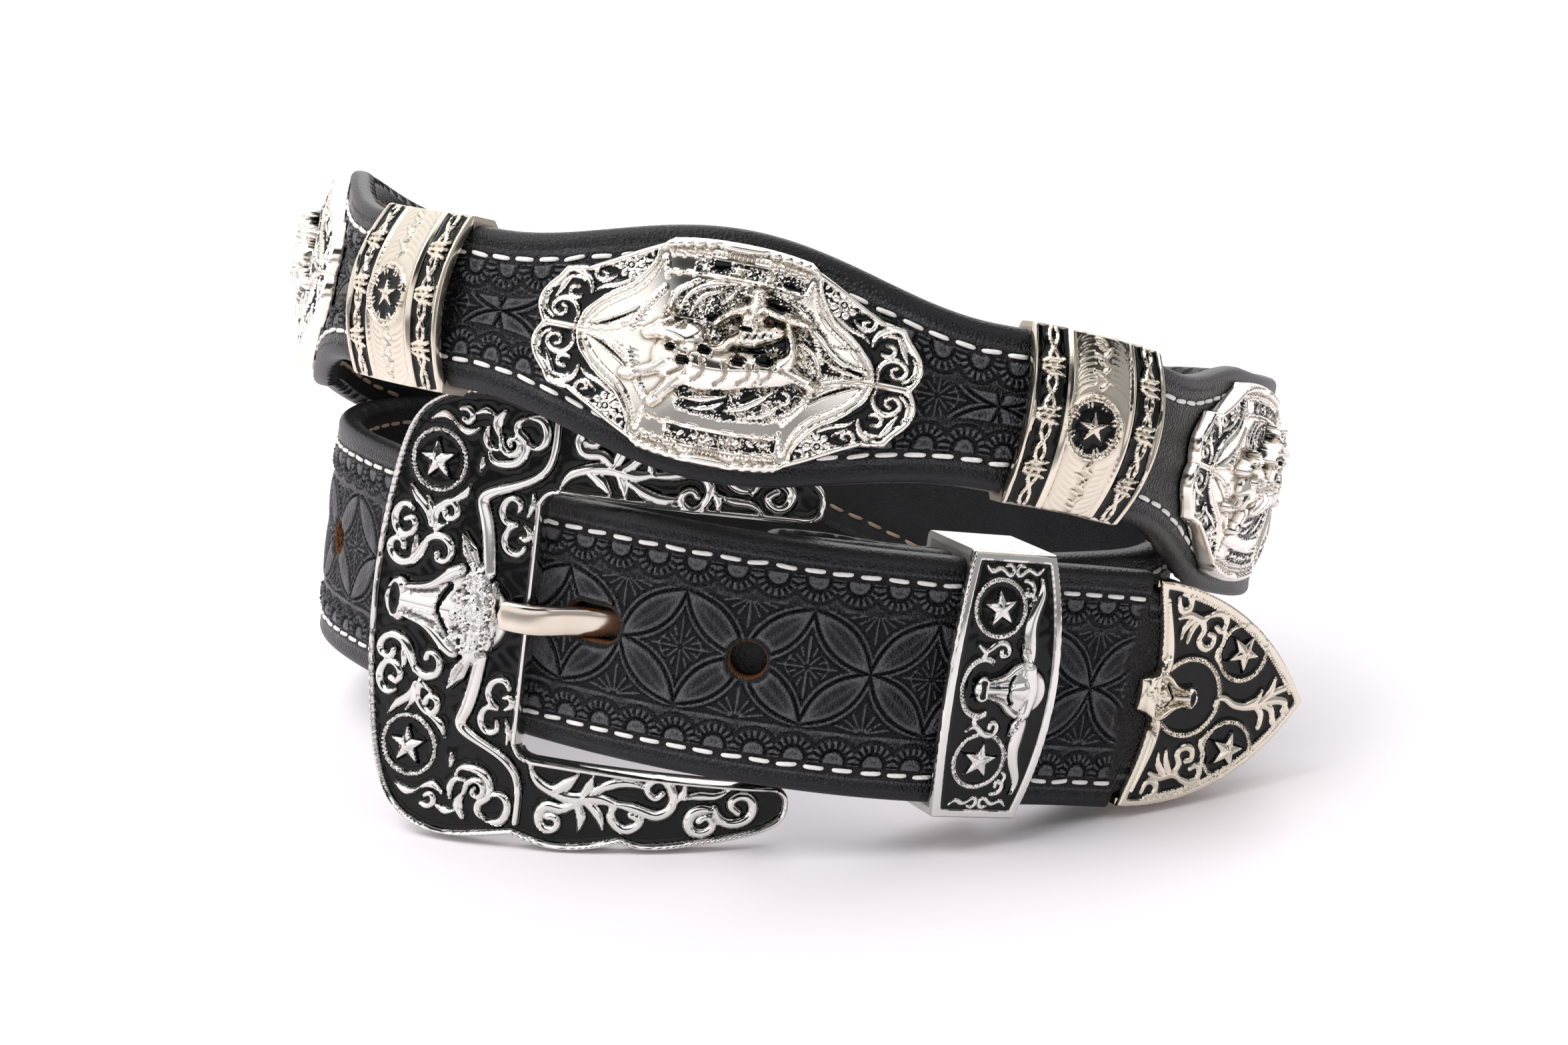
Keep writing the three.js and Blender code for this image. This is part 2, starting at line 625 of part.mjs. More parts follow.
function buildProng() {
  const ringOuter = BAR_RADIUS + GAP + 1.5;
  const half = PRONG_WIDTH / 2;
  const shape = new THREE.Shape();
  shape.absarc(0, 0, ringOuter, 0, 2 * Math.PI, false);
  const bore = new THREE.Path();
  bore.absarc(0, 0, BAR_RADIUS + GAP, 0, 2 * Math.PI, true);
  shape.holes.push(bore);
  const ring = new THREE.ExtrudeGeometry(shape, {
    depth: PRONG_WIDTH - 0.6, bevelEnabled: false, curveSegments: 7,
  });
  const place = (u, v, w) => onBuckle(u, v + PRONG_V - BUCKLE_SHIFT, w);
  const centre = place(BAR_ARC, 0.3 - half, 0);
  const turn = new THREE.Quaternion().setFromUnitVectors(new THREE.Vector3(0, 0, 1), rise);
  ring.applyQuaternion(turn).translate(centre.x, centre.y, centre.z);

  const rings = PRONG_LINE.map(([u, w], i) => {
    const before = PRONG_LINE[Math.max(i - 1, 0)];
    const after = PRONG_LINE[Math.min(i + 1, PRONG_LINE.length - 1)];
    const slope = Math.atan2(after[1] - before[1], after[0] - before[0]);
    const reach = i === PRONG_LINE.length - 1 ? half * 0.6 : half;
    const thick = PRONG_THICKNESS / 2;
    const section = [
      [reach, 0], [reach * 0.6, thick], [-reach * 0.6, thick],
      [-reach, 0], [-reach * 0.6, -thick], [reach * 0.6, -thick],
    ];
    return section.map(([v, o]) => place(u + o * Math.sin(slope), v, w - o * Math.cos(slope)));
  });
  return solid(ring).add(solid(loft(rings)));
}

bodies.set('prong', buildProng());

// Keeper: a metal loop round the billet and the strap behind it, its face bowed and arched

const KEEPER_HALF_HEIGHT = 20.6;
const KEEPER_RAISE = 0.2;
const KEEPER_WALL = 1.1;
const KEEPER_FRONT = 2.45;
const KEEPER_BACK = -10.2;
const KEEPER_RISE = 2.4;
const KEEPER_END_HALF = 7.1;
const KEEPER_BOW = 2.4;
const keeperFrame = billetPath.at(KEEPER_ARC);

/** Point on the keeper: u to the viewer's right, v up, w out of the billet's middle. */
const onKeeper = (u, v, w) => keeperFrame.point.clone()
  .addScaledVector(keeperFrame.along, -u)
  .addScaledVector(keeperFrame.across, v + KEEPER_RAISE)
  .addScaledVector(keeperFrame.out, w);
const archShare = (v, half) => 1 - (v / half) ** 2;

function buildKeeper() {
  const half = KEEPER_HALF_HEIGHT;
  const heights = evenly(7).map((share) => half * (2 * share - 1));
  const wide = (v) => KEEPER_END_HALF + KEEPER_BOW * archShare(v, half);
  const faceHeight = (v) => KEEPER_FRONT + KEEPER_WALL + KEEPER_RISE * archShare(v, half);
  // The plate helper runs along v here, so the two in-plane directions change places
  const turned = (v, u, w) => onKeeper(u, v, w);
  const columns = heights.map((v) => ({ u: v, low: -wide(v), high: wide(v) }));
  const outer = plate(turned, columns, 2, () => KEEPER_BACK - KEEPER_WALL, faceHeight);
  const innerHalf = half - KEEPER_WALL;
  const innerColumns = heights.map((v) => ({ u: v * innerHalf / half, low: -15, high: 15 }));
  const inner = plate(turned, innerColumns, 2, () => KEEPER_BACK,
    (v) => KEEPER_FRONT + KEEPER_RISE * archShare(v, half) * 0.9);
  const fieldColumns = heights.map((v) => {
    const share = (half - 1.5) / half;
    return { u: v * share, low: 1.3 - wide(v), high: wide(v) - 1.3 };
  });
  const field = plate(turned, fieldColumns, 2, (v) => faceHeight(v) - 0.5, () => 12);
  const face = (u, v, w) => onKeeper(u, v, w + faceHeight(v) - 0.5);
  const pieces = [];
  for (const side of [1, -1]) {
    pieces.push(starDisc(face, -2.2, side * 12, 4.2, -0.2, 0.6));
    const horn = [[-0.2, 1.6], [3.6, 5], [3.4, 10], [4.8, 15.2]];
    pieces.push(ridge(face, horn.map(([u, v]) => [u, v * side]), 0.9, -0.2, 0.9, ROUND));
    const scroll = [[-4.4, 18], [-1.6, 17.2], [1.6, 18], [4.4, 17.4]];
    pieces.push(ridge(face, scroll.map(([u, v]) => [u, v * side]), 0.7, -0.2, 0.5));
  }
  pieces.push(plate(face, mirroredColumns([
    [-5.4, 1.2], [-4.2, 1.8], [-1.6, 1.4], [2.4, 2.6], [5, 1.8],
  ]), 3, () => -0.2, (u, v) => 1.4 - 0.1 * v * v));
  return joined(cut(outer, [inner, field]), pieces);
}

bodies.set('keeper', buildKeeper());

// Tip: a pointed metal cap over the free end of the billet

const TIP_HALF_THICKNESS = 3.2;
const TIP_POCKET_HALF = STRAP_THICKNESS / 2 + GAP;
const TIP_POCKET_END = STRAP_START - GAP;

/** Point on the tip: u to the viewer's right, with the point of the tip at u = 0. */
const onTip = (u, v, w) => path.place(-u, v, w);

function buildTip() {
  const columns = mirroredColumns(TIP_ARCS.map((arc) => [-arc, tipHalfHeight(arc)]));
  const blank = plate(onTip, columns, 2, () => -TIP_HALF_THICKNESS, () => TIP_HALF_THICKNESS);
  const pocketColumns = [TIP_POCKET_END, 19, 26, TIP_LENGTH + 0.01].map((arc) => {
    const half = tipHalfHeight(arc) - TIP_POCKET_WALL;
    return { u: -arc, low: -half, high: half };
  });
  pocketColumns.push({ ...pocketColumns[pocketColumns.length - 1], u: -TIP_LENGTH - 2 });
  const pocket = plate(onTip, pocketColumns, 2, () => -TIP_POCKET_HALF, () => TIP_POCKET_HALF);
  const fieldColumns = mirroredColumns([2.4, 4, 8, 13, 19, 26, 27.6]
    .map((arc) => [-arc, tipHalfHeight(arc) - 1.7]));
  const field = plate(onTip, fieldColumns, 2, () => TIP_HALF_THICKNESS - 0.45, () => 8);
  const face = (u, v, w) => onTip(u, v, w + TIP_HALF_THICKNESS - 0.45);
  const scoops = [1, -1].map((side) => raised(face, [
    [-34, 2.6], [-29.4, 2.8], [-29.2, 6], [-30.4, 11], [-31.9, 16.2], [-34, 16.2],
  ].map(([u, v]) => [u, v * side]), -0.45, 6));
  const pieces = [];
  for (const side of [1, -1]) {
    const line = (points) => points.map(([u, v]) => [u, v * side]);
    pieces.push(starDisc(face, -12.2, side * 7.4, 4.7, -0.2, 0.6));
    pieces.push(ridge(face, line([[-26.5, 4], [-23.5, 6.2], [-19, 5], [-17.6, 1]]), 0.8, -0.2, 0.6));
    pieces.push(ridge(face, line([[-26, 14], [-24.4, 10.4], [-20.6, 10]]), 0.8, -0.2, 0.6));
    pieces.push(ridge(face, line([[-10, 0.5], [-7.4, 0.9], [-5, 3.4]]), 0.8, -0.2, 0.6));
  }
  pieces.push(plate(face, mirroredColumns([
    [-32, 1.6], [-30.6, 2.5], [-26, 2], [-22, 1.1], [-19, 1.2],
  ]), 3, () => -0.2, (u, v) => 1.4 - 0.1 * v * v));
  return joined(cut(blank, [pocket, field, ...scoops]), pieces);
}

bodies.set('tip', buildTip());

// Conchos: oval castings with scrolled corners and bow-shaped ends

const CONCHO_BASE = 1.5;
const CONCHO_DOME = 2.7;
const CONCHO_FIELD = 0.4;
const CONCHO_OUTLINE = [
  [0, 16], [5, 15.8], [9.8, 15.2], [10.5, 14], [15.2, 11.8], [20.2, 9.2], [24.4, 8],
  [26.2, 6.2], [27.7, 3.4],
];
const CONCHO_PANEL = [[0, 13.6], [9, 13], [12, 8.6], [16, 5], [21.3, 0.8]];

/** Columns of an outline that is drawn for its right half, from the middle outwards or back. */
function bothHalves(right) {
  const left = right.filter(([u]) => u > 0).map(([u, half]) => [-u, half]);
  return mirroredColumns([...left, ...right].sort((a, b) => a[0] - b[0]));
}

function buildConcho(centreArc) {
  const dome = (u, v) => CONCHO_DOME * Math.cos(Math.PI * u / 58) ** 2 * Math.cos(Math.PI * v / 38);
  const base = STRAP_THICKNESS / 2 + GAP;
  const place = (u, v, w) => path.place(centreArc - u, v, base + w);
  const face = (u, v, w) => place(u, v, CONCHO_BASE + dome(u, v) + w);
  const blank = plate(place, bothHalves(CONCHO_OUTLINE), 5, () => 0, (u, v) => CONCHO_BASE + dome(u, v));
  const pieces = [plate(face, bothHalves(CONCHO_PANEL), 4, () => -0.5, () => CONCHO_FIELD)];
  for (const across of [1, -1]) {
    for (const up of [1, -1]) {
      const flip = (points) => points.map(([u, v]) => [u * across, v * up]);
      const bow = [[20.6, 6.4], [23.6, 6.6], [25.4, 4], [23.2, 2.2]];
      pieces.push(raised(face, flip(circle(14.8, 9.2, 1.9, 6)), -0.5, 0.5));
      pieces.push(ridge(face, flip(bow), 0.8, -0.5, 0.6));
    }
  }

  // Bucking bull and rider of plain form
  const figure = (points, halfWidth, height, section = SHARP) => pieces.push(
    ridge(face, points, halfWidth, -0.5, height + CONCHO_FIELD, section));
  figure([[-10.6, 2], [-6, 1.1], [1, -0.5], [8.4, -1.4]], 2.4, 1.1, ROUND);
  figure([[-5.4, -1], [-6.6, -4], [-8.6, -7.4]], 0.9, 0.8);
  figure([[-7.4, 0], [-9.4, -3.4], [-12.6, -5]], 0.9, 1);
  figure([[7.6, -1.6], [9.4, -2.6], [11.6, -2]], 0.9, 1);
  figure([[0.6, 0.6], [2.4, 3.4], [4, 6.4], [3.4, 9.2]], 1.4, 1.4, ROUND);
  figure([[4.4, 5.4], [6.6, 7], [6, 9.6]], 0.8, 1);
  return joined(blank, pieces);
}

const conchoArcs = {
  concho_right: conchoArc - CONCHO_PITCH,
  concho_centre: conchoArc,
  concho_left: conchoArc + CONCHO_PITCH,
};
for (const [name, arc] of Object.entries(conchoArcs)) {
  bodies.set(name, buildConcho(arc));
}

// Bands: loops with an arched face that the narrow places of the strap pass through

const bandArch = (v) => STRAP_THICKNESS / 2 + 0.5 + BAND_RISE * (1 - (v / BAND_HALF_HEIGHT) ** 2);

function buildBand(centreArc) {
  const place = (u, v, w) => path.place(centreArc - u, v, w);
  const half = BAND_LENGTH / 2;
  const columnsOf = (list, reach) => list.map((u) => ({ u, low: -reach, high: reach }));
  const lengthwise = (reach) => evenly(4).map((share) => reach * (2 * share - 1));

  // The back is flat with both of its corners chamfered
  const backFace = -STRAP_THICKNESS / 2 - BAND_GAP;
  const backOf = (reach, face) => (u, v) => face + Math.max(0, BAND_CORNER - (reach - Math.abs(v)));
  const cornersOf = (reach, corner) => [0, corner / (2 * reach), 1 - corner / (2 * reach), 1];
  const outer = plate(place, columnsOf(lengthwise(half), BAND_HALF_HEIGHT), 7,
    backOf(BAND_HALF_HEIGHT, backFace - BAND_WALL), (u, v) => bandArch(v),
    cornersOf(BAND_HALF_HEIGHT, BAND_CORNER));
  const innerReach = BAND_HALF_HEIGHT - BAND_WALL;
  const ceiling = (u, v) => Math.max(bandArch(v) - 1.3, STRAP_THICKNESS / 2 + GAP);
  const inner = plate(place, columnsOf(lengthwise(half + 1), innerReach), 5,
    backOf(innerReach + 0.3, backFace), ceiling, cornersOf(innerReach, BAND_CORNER - 0.3));
  const channels = [-1, 1].map((side) => {
    const list = [side * 5.4, side * 9.6].sort((a, b) => a - b);
    const floor = (u, v) => bandArch(v) - 0.45;
    return plate(place, columnsOf(list, BAND_HALF_HEIGHT - 0.9), 2, floor, () => 12, evenly(7));
  });
  const face = (u, v, w) => place(u, v, bandArch(v) + w);
  const pieces = [-1, 1].map((side) => {
    const wire = [-11.6, -7, 0, 7, 11.6].map((v) => [side * 7.5, v]);
    return ridge(face, wire, 0.8, -0.6, 0.1);
  });
  pieces.push(starDisc(face, 0, 0, 4.3, -0.3, 0.4));
  return joined(cut(outer, [inner, ...channels]), pieces);
}

const bandArcs = {
  band_right: conchoArc - BAND_OFFSET,
  band_left: conchoArc + BAND_OFFSET,
};
for (const [name, arc] of Object.entries(bandArcs)) {
  bodies.set(name, buildBand(arc));
}

// Materials and the finished group

const leather = { color: 0x17171a, roughness: 0.55, metalness: 0 };
const silver = { color: 0xc9c6c0, roughness: 0.2, metalness: 1 };
const paleGold = { color: 0xd8ccb4, roughness: 0.2, metalness: 1 };
const finishes = {
  strap: leather,
  buckle: silver,
  prong: silver,
  keeper: silver,
  tip: paleGold,
  concho_left: paleGold,
  concho_centre: paleGold,
  concho_right: paleGold,
  band_left: paleGold,
  band_right: paleGold,
};

const belt = new THREE.Group();
belt.name = 'concho_belt';
for (const [name, body] of bodies) {
  const mesh = new THREE.Mesh(geometryOf(body), new THREE.MeshStandardMaterial(finishes[name]));
  mesh.name = name;
  belt.add(mesh);
}

// Stand the belt with its lowest point on the floor and its box centred on the origin
const box = new THREE.Box3().setFromObject(belt);
belt.position.set(-(box.min.x + box.max.x) / 2, -(box.min.y + box.max.y) / 2, -box.min.z);

export default belt;
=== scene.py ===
# Finished surfaces of a western concho belt, buckled and coiled in two turns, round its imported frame.
# Tables are in millimetres, in the frame of the strap's stations, which FRAME_SHIFT moves to the row frame.
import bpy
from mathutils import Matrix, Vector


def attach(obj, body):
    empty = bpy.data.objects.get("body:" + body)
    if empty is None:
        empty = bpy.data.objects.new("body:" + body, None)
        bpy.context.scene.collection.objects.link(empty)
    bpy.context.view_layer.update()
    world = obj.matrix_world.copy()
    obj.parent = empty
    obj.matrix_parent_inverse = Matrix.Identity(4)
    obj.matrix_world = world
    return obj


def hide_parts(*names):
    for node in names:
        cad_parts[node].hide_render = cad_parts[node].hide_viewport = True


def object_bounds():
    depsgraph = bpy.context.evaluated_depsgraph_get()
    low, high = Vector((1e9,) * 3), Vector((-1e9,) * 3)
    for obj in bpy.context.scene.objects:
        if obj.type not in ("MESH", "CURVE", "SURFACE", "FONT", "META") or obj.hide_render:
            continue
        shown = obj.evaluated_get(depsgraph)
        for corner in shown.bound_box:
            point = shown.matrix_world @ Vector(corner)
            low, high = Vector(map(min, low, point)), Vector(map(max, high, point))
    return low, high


bl_info = {
    "name": "Concho Belt",
    "version": (1, 0, 0),
    "blender": (4, 5, 0),
    "location": "3D View > Sidebar > Belt",
    "description": "Builds the finished surfaces of a coiled western concho belt",
    "category": "Object",
}

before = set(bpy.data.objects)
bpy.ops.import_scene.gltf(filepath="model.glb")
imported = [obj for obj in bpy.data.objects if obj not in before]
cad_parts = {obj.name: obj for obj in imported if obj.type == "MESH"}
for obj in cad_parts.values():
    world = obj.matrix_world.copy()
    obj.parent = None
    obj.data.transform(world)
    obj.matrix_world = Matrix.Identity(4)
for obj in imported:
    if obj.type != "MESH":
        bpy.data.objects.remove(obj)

import math

import bpy
import numpy as np
from bpy.props import FloatProperty, FloatVectorProperty, PointerProperty
from mathutils import Vector
from mathutils.geometry import delaunay_2d_cdt

CAD_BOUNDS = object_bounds()
MM = 0.001
BODY = "root"
SHARP_ANGLE = math.radians(45)
FRAME_SHIFT = np.array([-0.8926, -43.7198, 0.4125])

# Driving sizes of the leather
STRAP_WIDTH = 38
STRAP_CONCHO_WIDTH = 36.6
STRAP_NARROW = 24.2
STRAP_THICKNESS = 4
STRAP_SKIVED = 2.2
SKIVE_RUN = 12
SKIVE_END = 10
SCALLOP_HALF = 38
HOLE_FIRST = 96.5
HOLE_PITCH = 23.5
HOLE_COUNT = 5
HOLE_RADIUS = 2.8
PRONG_HOLE = {"index": 1, "stretch": 1.9, "shift": 0.7, "rise": 1.1}

# Driving sizes of the fittings
GAP = 0.3
FINE_STEP = 0.18
BLUR_CELLS = 3
CURL_SHARP = 0.15
CONCHO_CENTRE_X = -8.2
CONCHO_PITCH = 108
BAND_OFFSET = 53
BAND_LENGTH = 21
BAND_HALF_HEIGHT = 13.3
BAND_RISE = 4
BAND_FRONT = 2.5
BAND_BACK = -3.3
BAND_STEP = 0.19
CHANNEL_DEPTH = 0.5
WIRE_TWIST = 3.4
MEDALLION_SINK = -0.35
KEEPER_ARC = 59.6
KEEPER_HALF_HEIGHT = 20.6
KEEPER_RAISE = 0.2
KEEPER_WALL = 1.1
KEEPER_FRONT = 2.45
KEEPER_BACK = -10.2
KEEPER_RISE = 2.4
KEEPER_END_HALF = 7.1
KEEPER_BOW = 2.4
TIP_LENGTH = 32.4
TIP_HALF_HEIGHT = 18.1
TIP_ARCH_RADIUS = 37.3
TIP_HALF_THICKNESS = 3.2
TIP_WALL = 1.1
BUCKLE_RADIUS = 80
BUCKLE_RIGHT = (1.5, -10.5)
BUCKLE_LEFT = (-64.5, 2)
BUCKLE_SHIFT = 0.6
BAR_ARC = 32.5
BAR_RADIUS = 2
FOLD_RADIUS = 3.4
FOLD_STEPS = 18
TAB_STEPS = 39
PRONG_WIDTH = 4.6
PRONG_THICKNESS = 2
PRONG_V = 2
PRONG_DOME = 1.2
RING_WALL = 1.5
RING_CHAMFER = 0.3

# The two turns lie in two leaning planes: height falls by these shares per millimetre of x and y
LOWER_TURN = {"fall_x": 0.123, "fall_y": 0.105, "height": 27.5}
UPPER_TURN = {"fall_x": 0.199, "fall_y": 0.234, "height": 71.1}


def plane_height(turn, x, y):
    """Height of a leaning plane over a point of the floor."""
    return turn["height"] - turn["fall_x"] * x - turn["fall_y"] * y


def lower(x, y, lift=0.0):
    """Station on the lower turn: x, y, z, lean in x, lean in y."""
    return [x, y, plane_height(LOWER_TURN, x, y) + lift, LOWER_TURN["fall_x"], LOWER_TURN["fall_y"]]


def upper(x, y):
    """Station on the upper turn, with the columns of lower."""
    return [x, y, plane_height(UPPER_TURN, x, y), UPPER_TURN["fall_x"], UPPER_TURN["fall_y"]]


# Stations of the strap's middle line, from the free tip round two turns to the buckle. Columns: x, y, z,
# lean in x, lean in y
STATIONS = [
    lower(82, 15.8, -2.7), lower(60.5, 4.6, -1.8), lower(45, -3.4, -0.7), lower(30, -11.2),
    lower(15, -16.4, 0.5), lower(-1, -17.6, 0.9), lower(-17, -15, 1.2), lower(-32, -8.2, 1.3),
    lower(-46, 2.5, 1.1), lower(-58, 16, 0.8), lower(-68.5, 32, 0.4), lower(-75.5, 49),
    lower(-76.5, 67), lower(-69.5, 85), lower(-55, 99),
    [-36, 108, 20.5, 0.12, 0.08], [-14, 112.5, 19, 0.05, 0.05], [9, 112.5, 19.8, 0.02, 0.02],
    [31, 107.5, 23.5, 0, 0], [51, 98.5, 28, 0.02, 0.02], [66.5, 89.5, 31.4, 0.05, 0.05],
    [77.2, 76, 34, 0.1, 0.1], [80.8, 59.5, 36.8, 0.12, 0.15], [77.4, 43.5, 40.8, 0.12, 0.16],
    [70.8, 28.5, 46, 0.13, 0.17], [63.8, 13.6, 52, 0.16, 0.19], [57.2, 0.8, 57.8, 0.18, 0.21],
    upper(46.8, -10.9), upper(28.8, -17.7), upper(10, -20.1), upper(-10, -19.5),
    upper(-28.9, -14.7), upper(-45.8, -4.7), upper(-59.3, 9.2),
    [-67.8, 24.4, 79.7, 0.24, 0.22], [-72.2, 42, 76.6, 0.22, 0.2], [-74.9, 60, 72.9, 0.2, 0.18],
    [-75.3, 75.5, 68.8, 0.2, 0.18], [-70.4, 88.8, 61.8, 0.15, 0.15], [-60, 97.5, 56, 0.08, 0.08],
    [-45, 101.6, 52, 0.05, 0.05], [-26, 102, 48.8, 0.05, 0.05], [-5, 101.5, 43.1, 0.05, 0.05],
    [15.5, 96.5, 36.1, 0.05, 0.05], [34.5, 86.5, 28.8, 0.05, 0.05], [49.5, 72, 22.8, 0.05, 0.05],
    [59, 54, 19.6, 0.05, 0.05], [61.5, 35, 19.05, 0.07, 0.07], [56, 16.5, 19.3, 0.12, 0.1],
    lower(43.5, 3.2),
]
BILLET_STATIONS = 14

# The buckle end behind the billet, then the folded tab. Columns: arc length on the billet, depth behind it
BEHIND_BILLET = [(62, 4.4), (70, 4.4), (82, 3.7)]
TAB = [(87, 9.6), (80, 8.2), (70, 7.9), (60, 7.9), (50, 7.9)]


# Lines and frames

def unit(vectors):
    """Vectors divided by their own lengths."""
    return vectors / np.linalg.norm(vectors, axis=-1, keepdims=True)


def natural_spline(knots, rows, at):
    """Natural cubic spline: the second slopes solve the usual three-term system, and vanish at both ends."""
    knots, rows, at = (np.asarray(a, float) for a in (knots, rows, at))
    step = np.diff(knots)
    slope = np.diff(rows, axis=0) / step[:, None]
    matrix = np.eye(len(knots))
    right = np.zeros_like(rows)
    for i in range(1, len(knots) - 1):
        matrix[i, i - 1:i + 2] = step[i - 1], 2 * (step[i - 1] + step[i]), step[i]
        right[i] = 6 * (slope[i] - slope[i - 1])
    bend = np.linalg.solve(matrix, right)
    i = np.clip(np.searchsorted(knots, at, side="right") - 1, 0, len(knots) - 2)
    a = ((knots[i + 1] - at) / step[i])[:, None]
    b = 1 - a
    cubic = (a ** 3 - a) * bend[i] + (b ** 3 - b) * bend[i + 1]
    return a * rows[i] + b * rows[i + 1] + cubic * (step[i] ** 2 / 6)[:, None]


def chord_lengths(points):
    """Running length along a row of points."""
    steps = np.linalg.norm(np.diff(points, axis=0), axis=1)
    return np.concatenate([[0], np.cumsum(steps)])


def smooth_line(points, per=7):
    """Curve through a few points of a plane, as a natural spline over its chord lengths."""
    points = np.asarray(points, float)
    if len(points) < 3:
        return points
    knots = chord_lengths(points)
    return natural_spline(knots, points, np.linspace(0, knots[-1], (len(points) - 1) * per + 1))


class Track:
    """Middle line of a strap with its frame, looked up by arc length."""

    def __init__(self, points, across, out):
        self.points, self.across, self.out = points, across, out
        self.arcs = chord_lengths(points)
        self.length = self.arcs[-1]

    @classmethod
    def through(cls, stations, samples):
        """Spline through stations. Across is the lean made square to the line, and out is across x along."""
        stations = np.asarray(stations, float)
        knots = chord_lengths(stations[:, :3])
        rows = natural_spline(knots, stations, np.linspace(0, knots[-1], samples))
        points = rows[:, :3]
        ends = np.concatenate([points[:1], points, points[-1:]])
        along = unit(ends[2:] - ends[:-2])
        lean = np.column_stack([rows[:, 3:], np.ones(samples)])
        across = unit(lean - np.sum(lean * along, axis=1, keepdims=True) * along)
        return cls(points, across, np.cross(across, along))

    def at(self, arc):
        """Point, across and out at arc lengths, between the samples on each side."""
        arc = np.atleast_1d(np.asarray(arc, float))
        found = [np.stack([np.interp(arc, self.arcs, column) for column in rows.T], axis=-1)
                 for rows in (self.points, self.across, self.out)]
        return found[0], unit(found[1]), unit(found[2])

    def place(self, arc, height, out):
        """Points at arc lengths, heights across the strap and distances out of its middle."""
        shape = np.broadcast(arc, height, out).shape
        arc, height, out = (np.broadcast_to(a, shape).ravel() for a in (arc, height, out))
        point, across, outward = self.at(arc)
        return (point + across * height[:, None] + outward * out[:, None]).reshape(shape + (3,))

    def arc_of_least(self, measure, start, end):
        """Arc length at which a measure of the points is least."""
        arcs = np.arange(start, end, 0.1)
        return arcs[np.argmin(measure(*self.at(arcs)))]


def in_plane(point):
    """Point of the lower turn's plane over a point of the floor."""
    return np.array([point[0], point[1], plane_height(LOWER_TURN, *point)])


RISE = unit(np.array([LOWER_TURN["fall_x"], LOWER_TURN["fall_y"], 1.0]))
BUCKLE_CHORD = in_plane(BUCKLE_RIGHT) - in_plane(BUCKLE_LEFT)
BUCKLE_ALONG = unit(BUCKLE_CHORD)
BUCKLE_IN = np.cross(RISE, BUCKLE_ALONG)
BUCKLE_SAGITTA = BUCKLE_RADIUS - math.sqrt(BUCKLE_RADIUS ** 2 - np.dot(BUCKLE_CHORD, BUCKLE_CHORD) / 4)
BUCKLE_AXIS = (in_plane(BUCKLE_RIGHT) + in_plane(BUCKLE_LEFT)) / 2
BUCKLE_AXIS = BUCKLE_AXIS + BUCKLE_IN * (BUCKLE_RADIUS - BUCKLE_SAGITTA)


def on_buckle(u, v, w):
    """Points on the buckle's cylinder: u along its arc, v up its height, w out of its middle face."""
    u, v, w = np.broadcast_arrays(*(np.asarray(a, float) for a in (u, v, w)))
    angle = (u / BUCKLE_RADIUS)[..., None]
    reach = (BUCKLE_RADIUS + w)[..., None]
    spread = BUCKLE_ALONG * reach * np.sin(angle) - BUCKLE_IN * reach * np.cos(angle)
    return BUCKLE_AXIS + spread + RISE * (v + BUCKLE_SHIFT)[..., None]


BAR_CENTRE = on_buckle(BAR_ARC, 0, 0)
BILLET = Track.through(STATIONS[:BILLET_STATIONS], 900)


def belt_track():
    """Spline through the stations and the points behind the billet, then the fold and the tab behind it."""
    near = BILLET.arc_of_least(lambda p, across, out: np.abs(
        np.sum((BAR_CENTRE - p) * np.cross(out, across), axis=1)), 80, 100)
    behind = [BILLET.place(arc, 0, -depth) for arc, depth in BEHIND_BILLET]
    behind.append(BAR_CENTRE + BILLET.at(near)[2][0] * FOLD_RADIUS)
    lean = [LOWER_TURN["fall_x"], LOWER_TURN["fall_y"]]
    return Track.through(STATIONS + [[*point, *lean] for point in behind], 2600)


def folded_track(track):
    """The belt's line made longer by a half circle round the buckle's bar and by the tab behind it."""
    out = track.out[-1]
    forward = unit(out - RISE * np.dot(out, RISE))
    sideways = np.cross(forward, RISE)
    angle = np.linspace(0, np.pi, FOLD_STEPS + 1)[1:, None]
    fold_out = forward * np.cos(angle) + sideways * np.sin(angle)
    arcs, depths = np.array(TAB, float).T
    point, across, outward = BILLET.at(arcs)
    rows = np.vstack([BAR_CENTRE - forward * FOLD_RADIUS, point - outward * depths[:, None]])
    knots = chord_lengths(rows)
    at = np.linspace(0, knots[-1], TAB_STEPS + 1)[1:]
    share = lambda rows: np.stack([np.interp(at, knots, column) for column in rows.T], axis=-1)
    return Track(
        np.vstack([track.points, BAR_CENTRE + fold_out * FOLD_RADIUS, natural_spline(knots, rows, at)]),
        np.vstack([track.across, np.tile(RISE, (FOLD_STEPS, 1)), share(np.vstack([RISE, across]))]),
        np.vstack([track.out, fold_out, unit(share(np.vstack([-forward, -outward])))]))


BELT = belt_track()
STRAP_LINE = folded_track(BELT)
CONCHO_ARC = BELT.arc_of_least(lambda p, across, out: np.abs(p[:, 0] - CONCHO_CENTRE_X), 480, 740)


def along_strap(centre_arc, base=0.0):
    """Placing function of a fitting: u to the viewer's right of an arc length, v up, w out of the strap."""
    return lambda u, v, w: BELT.place(centre_arc - u, v, base + w)


# Distances in a plane

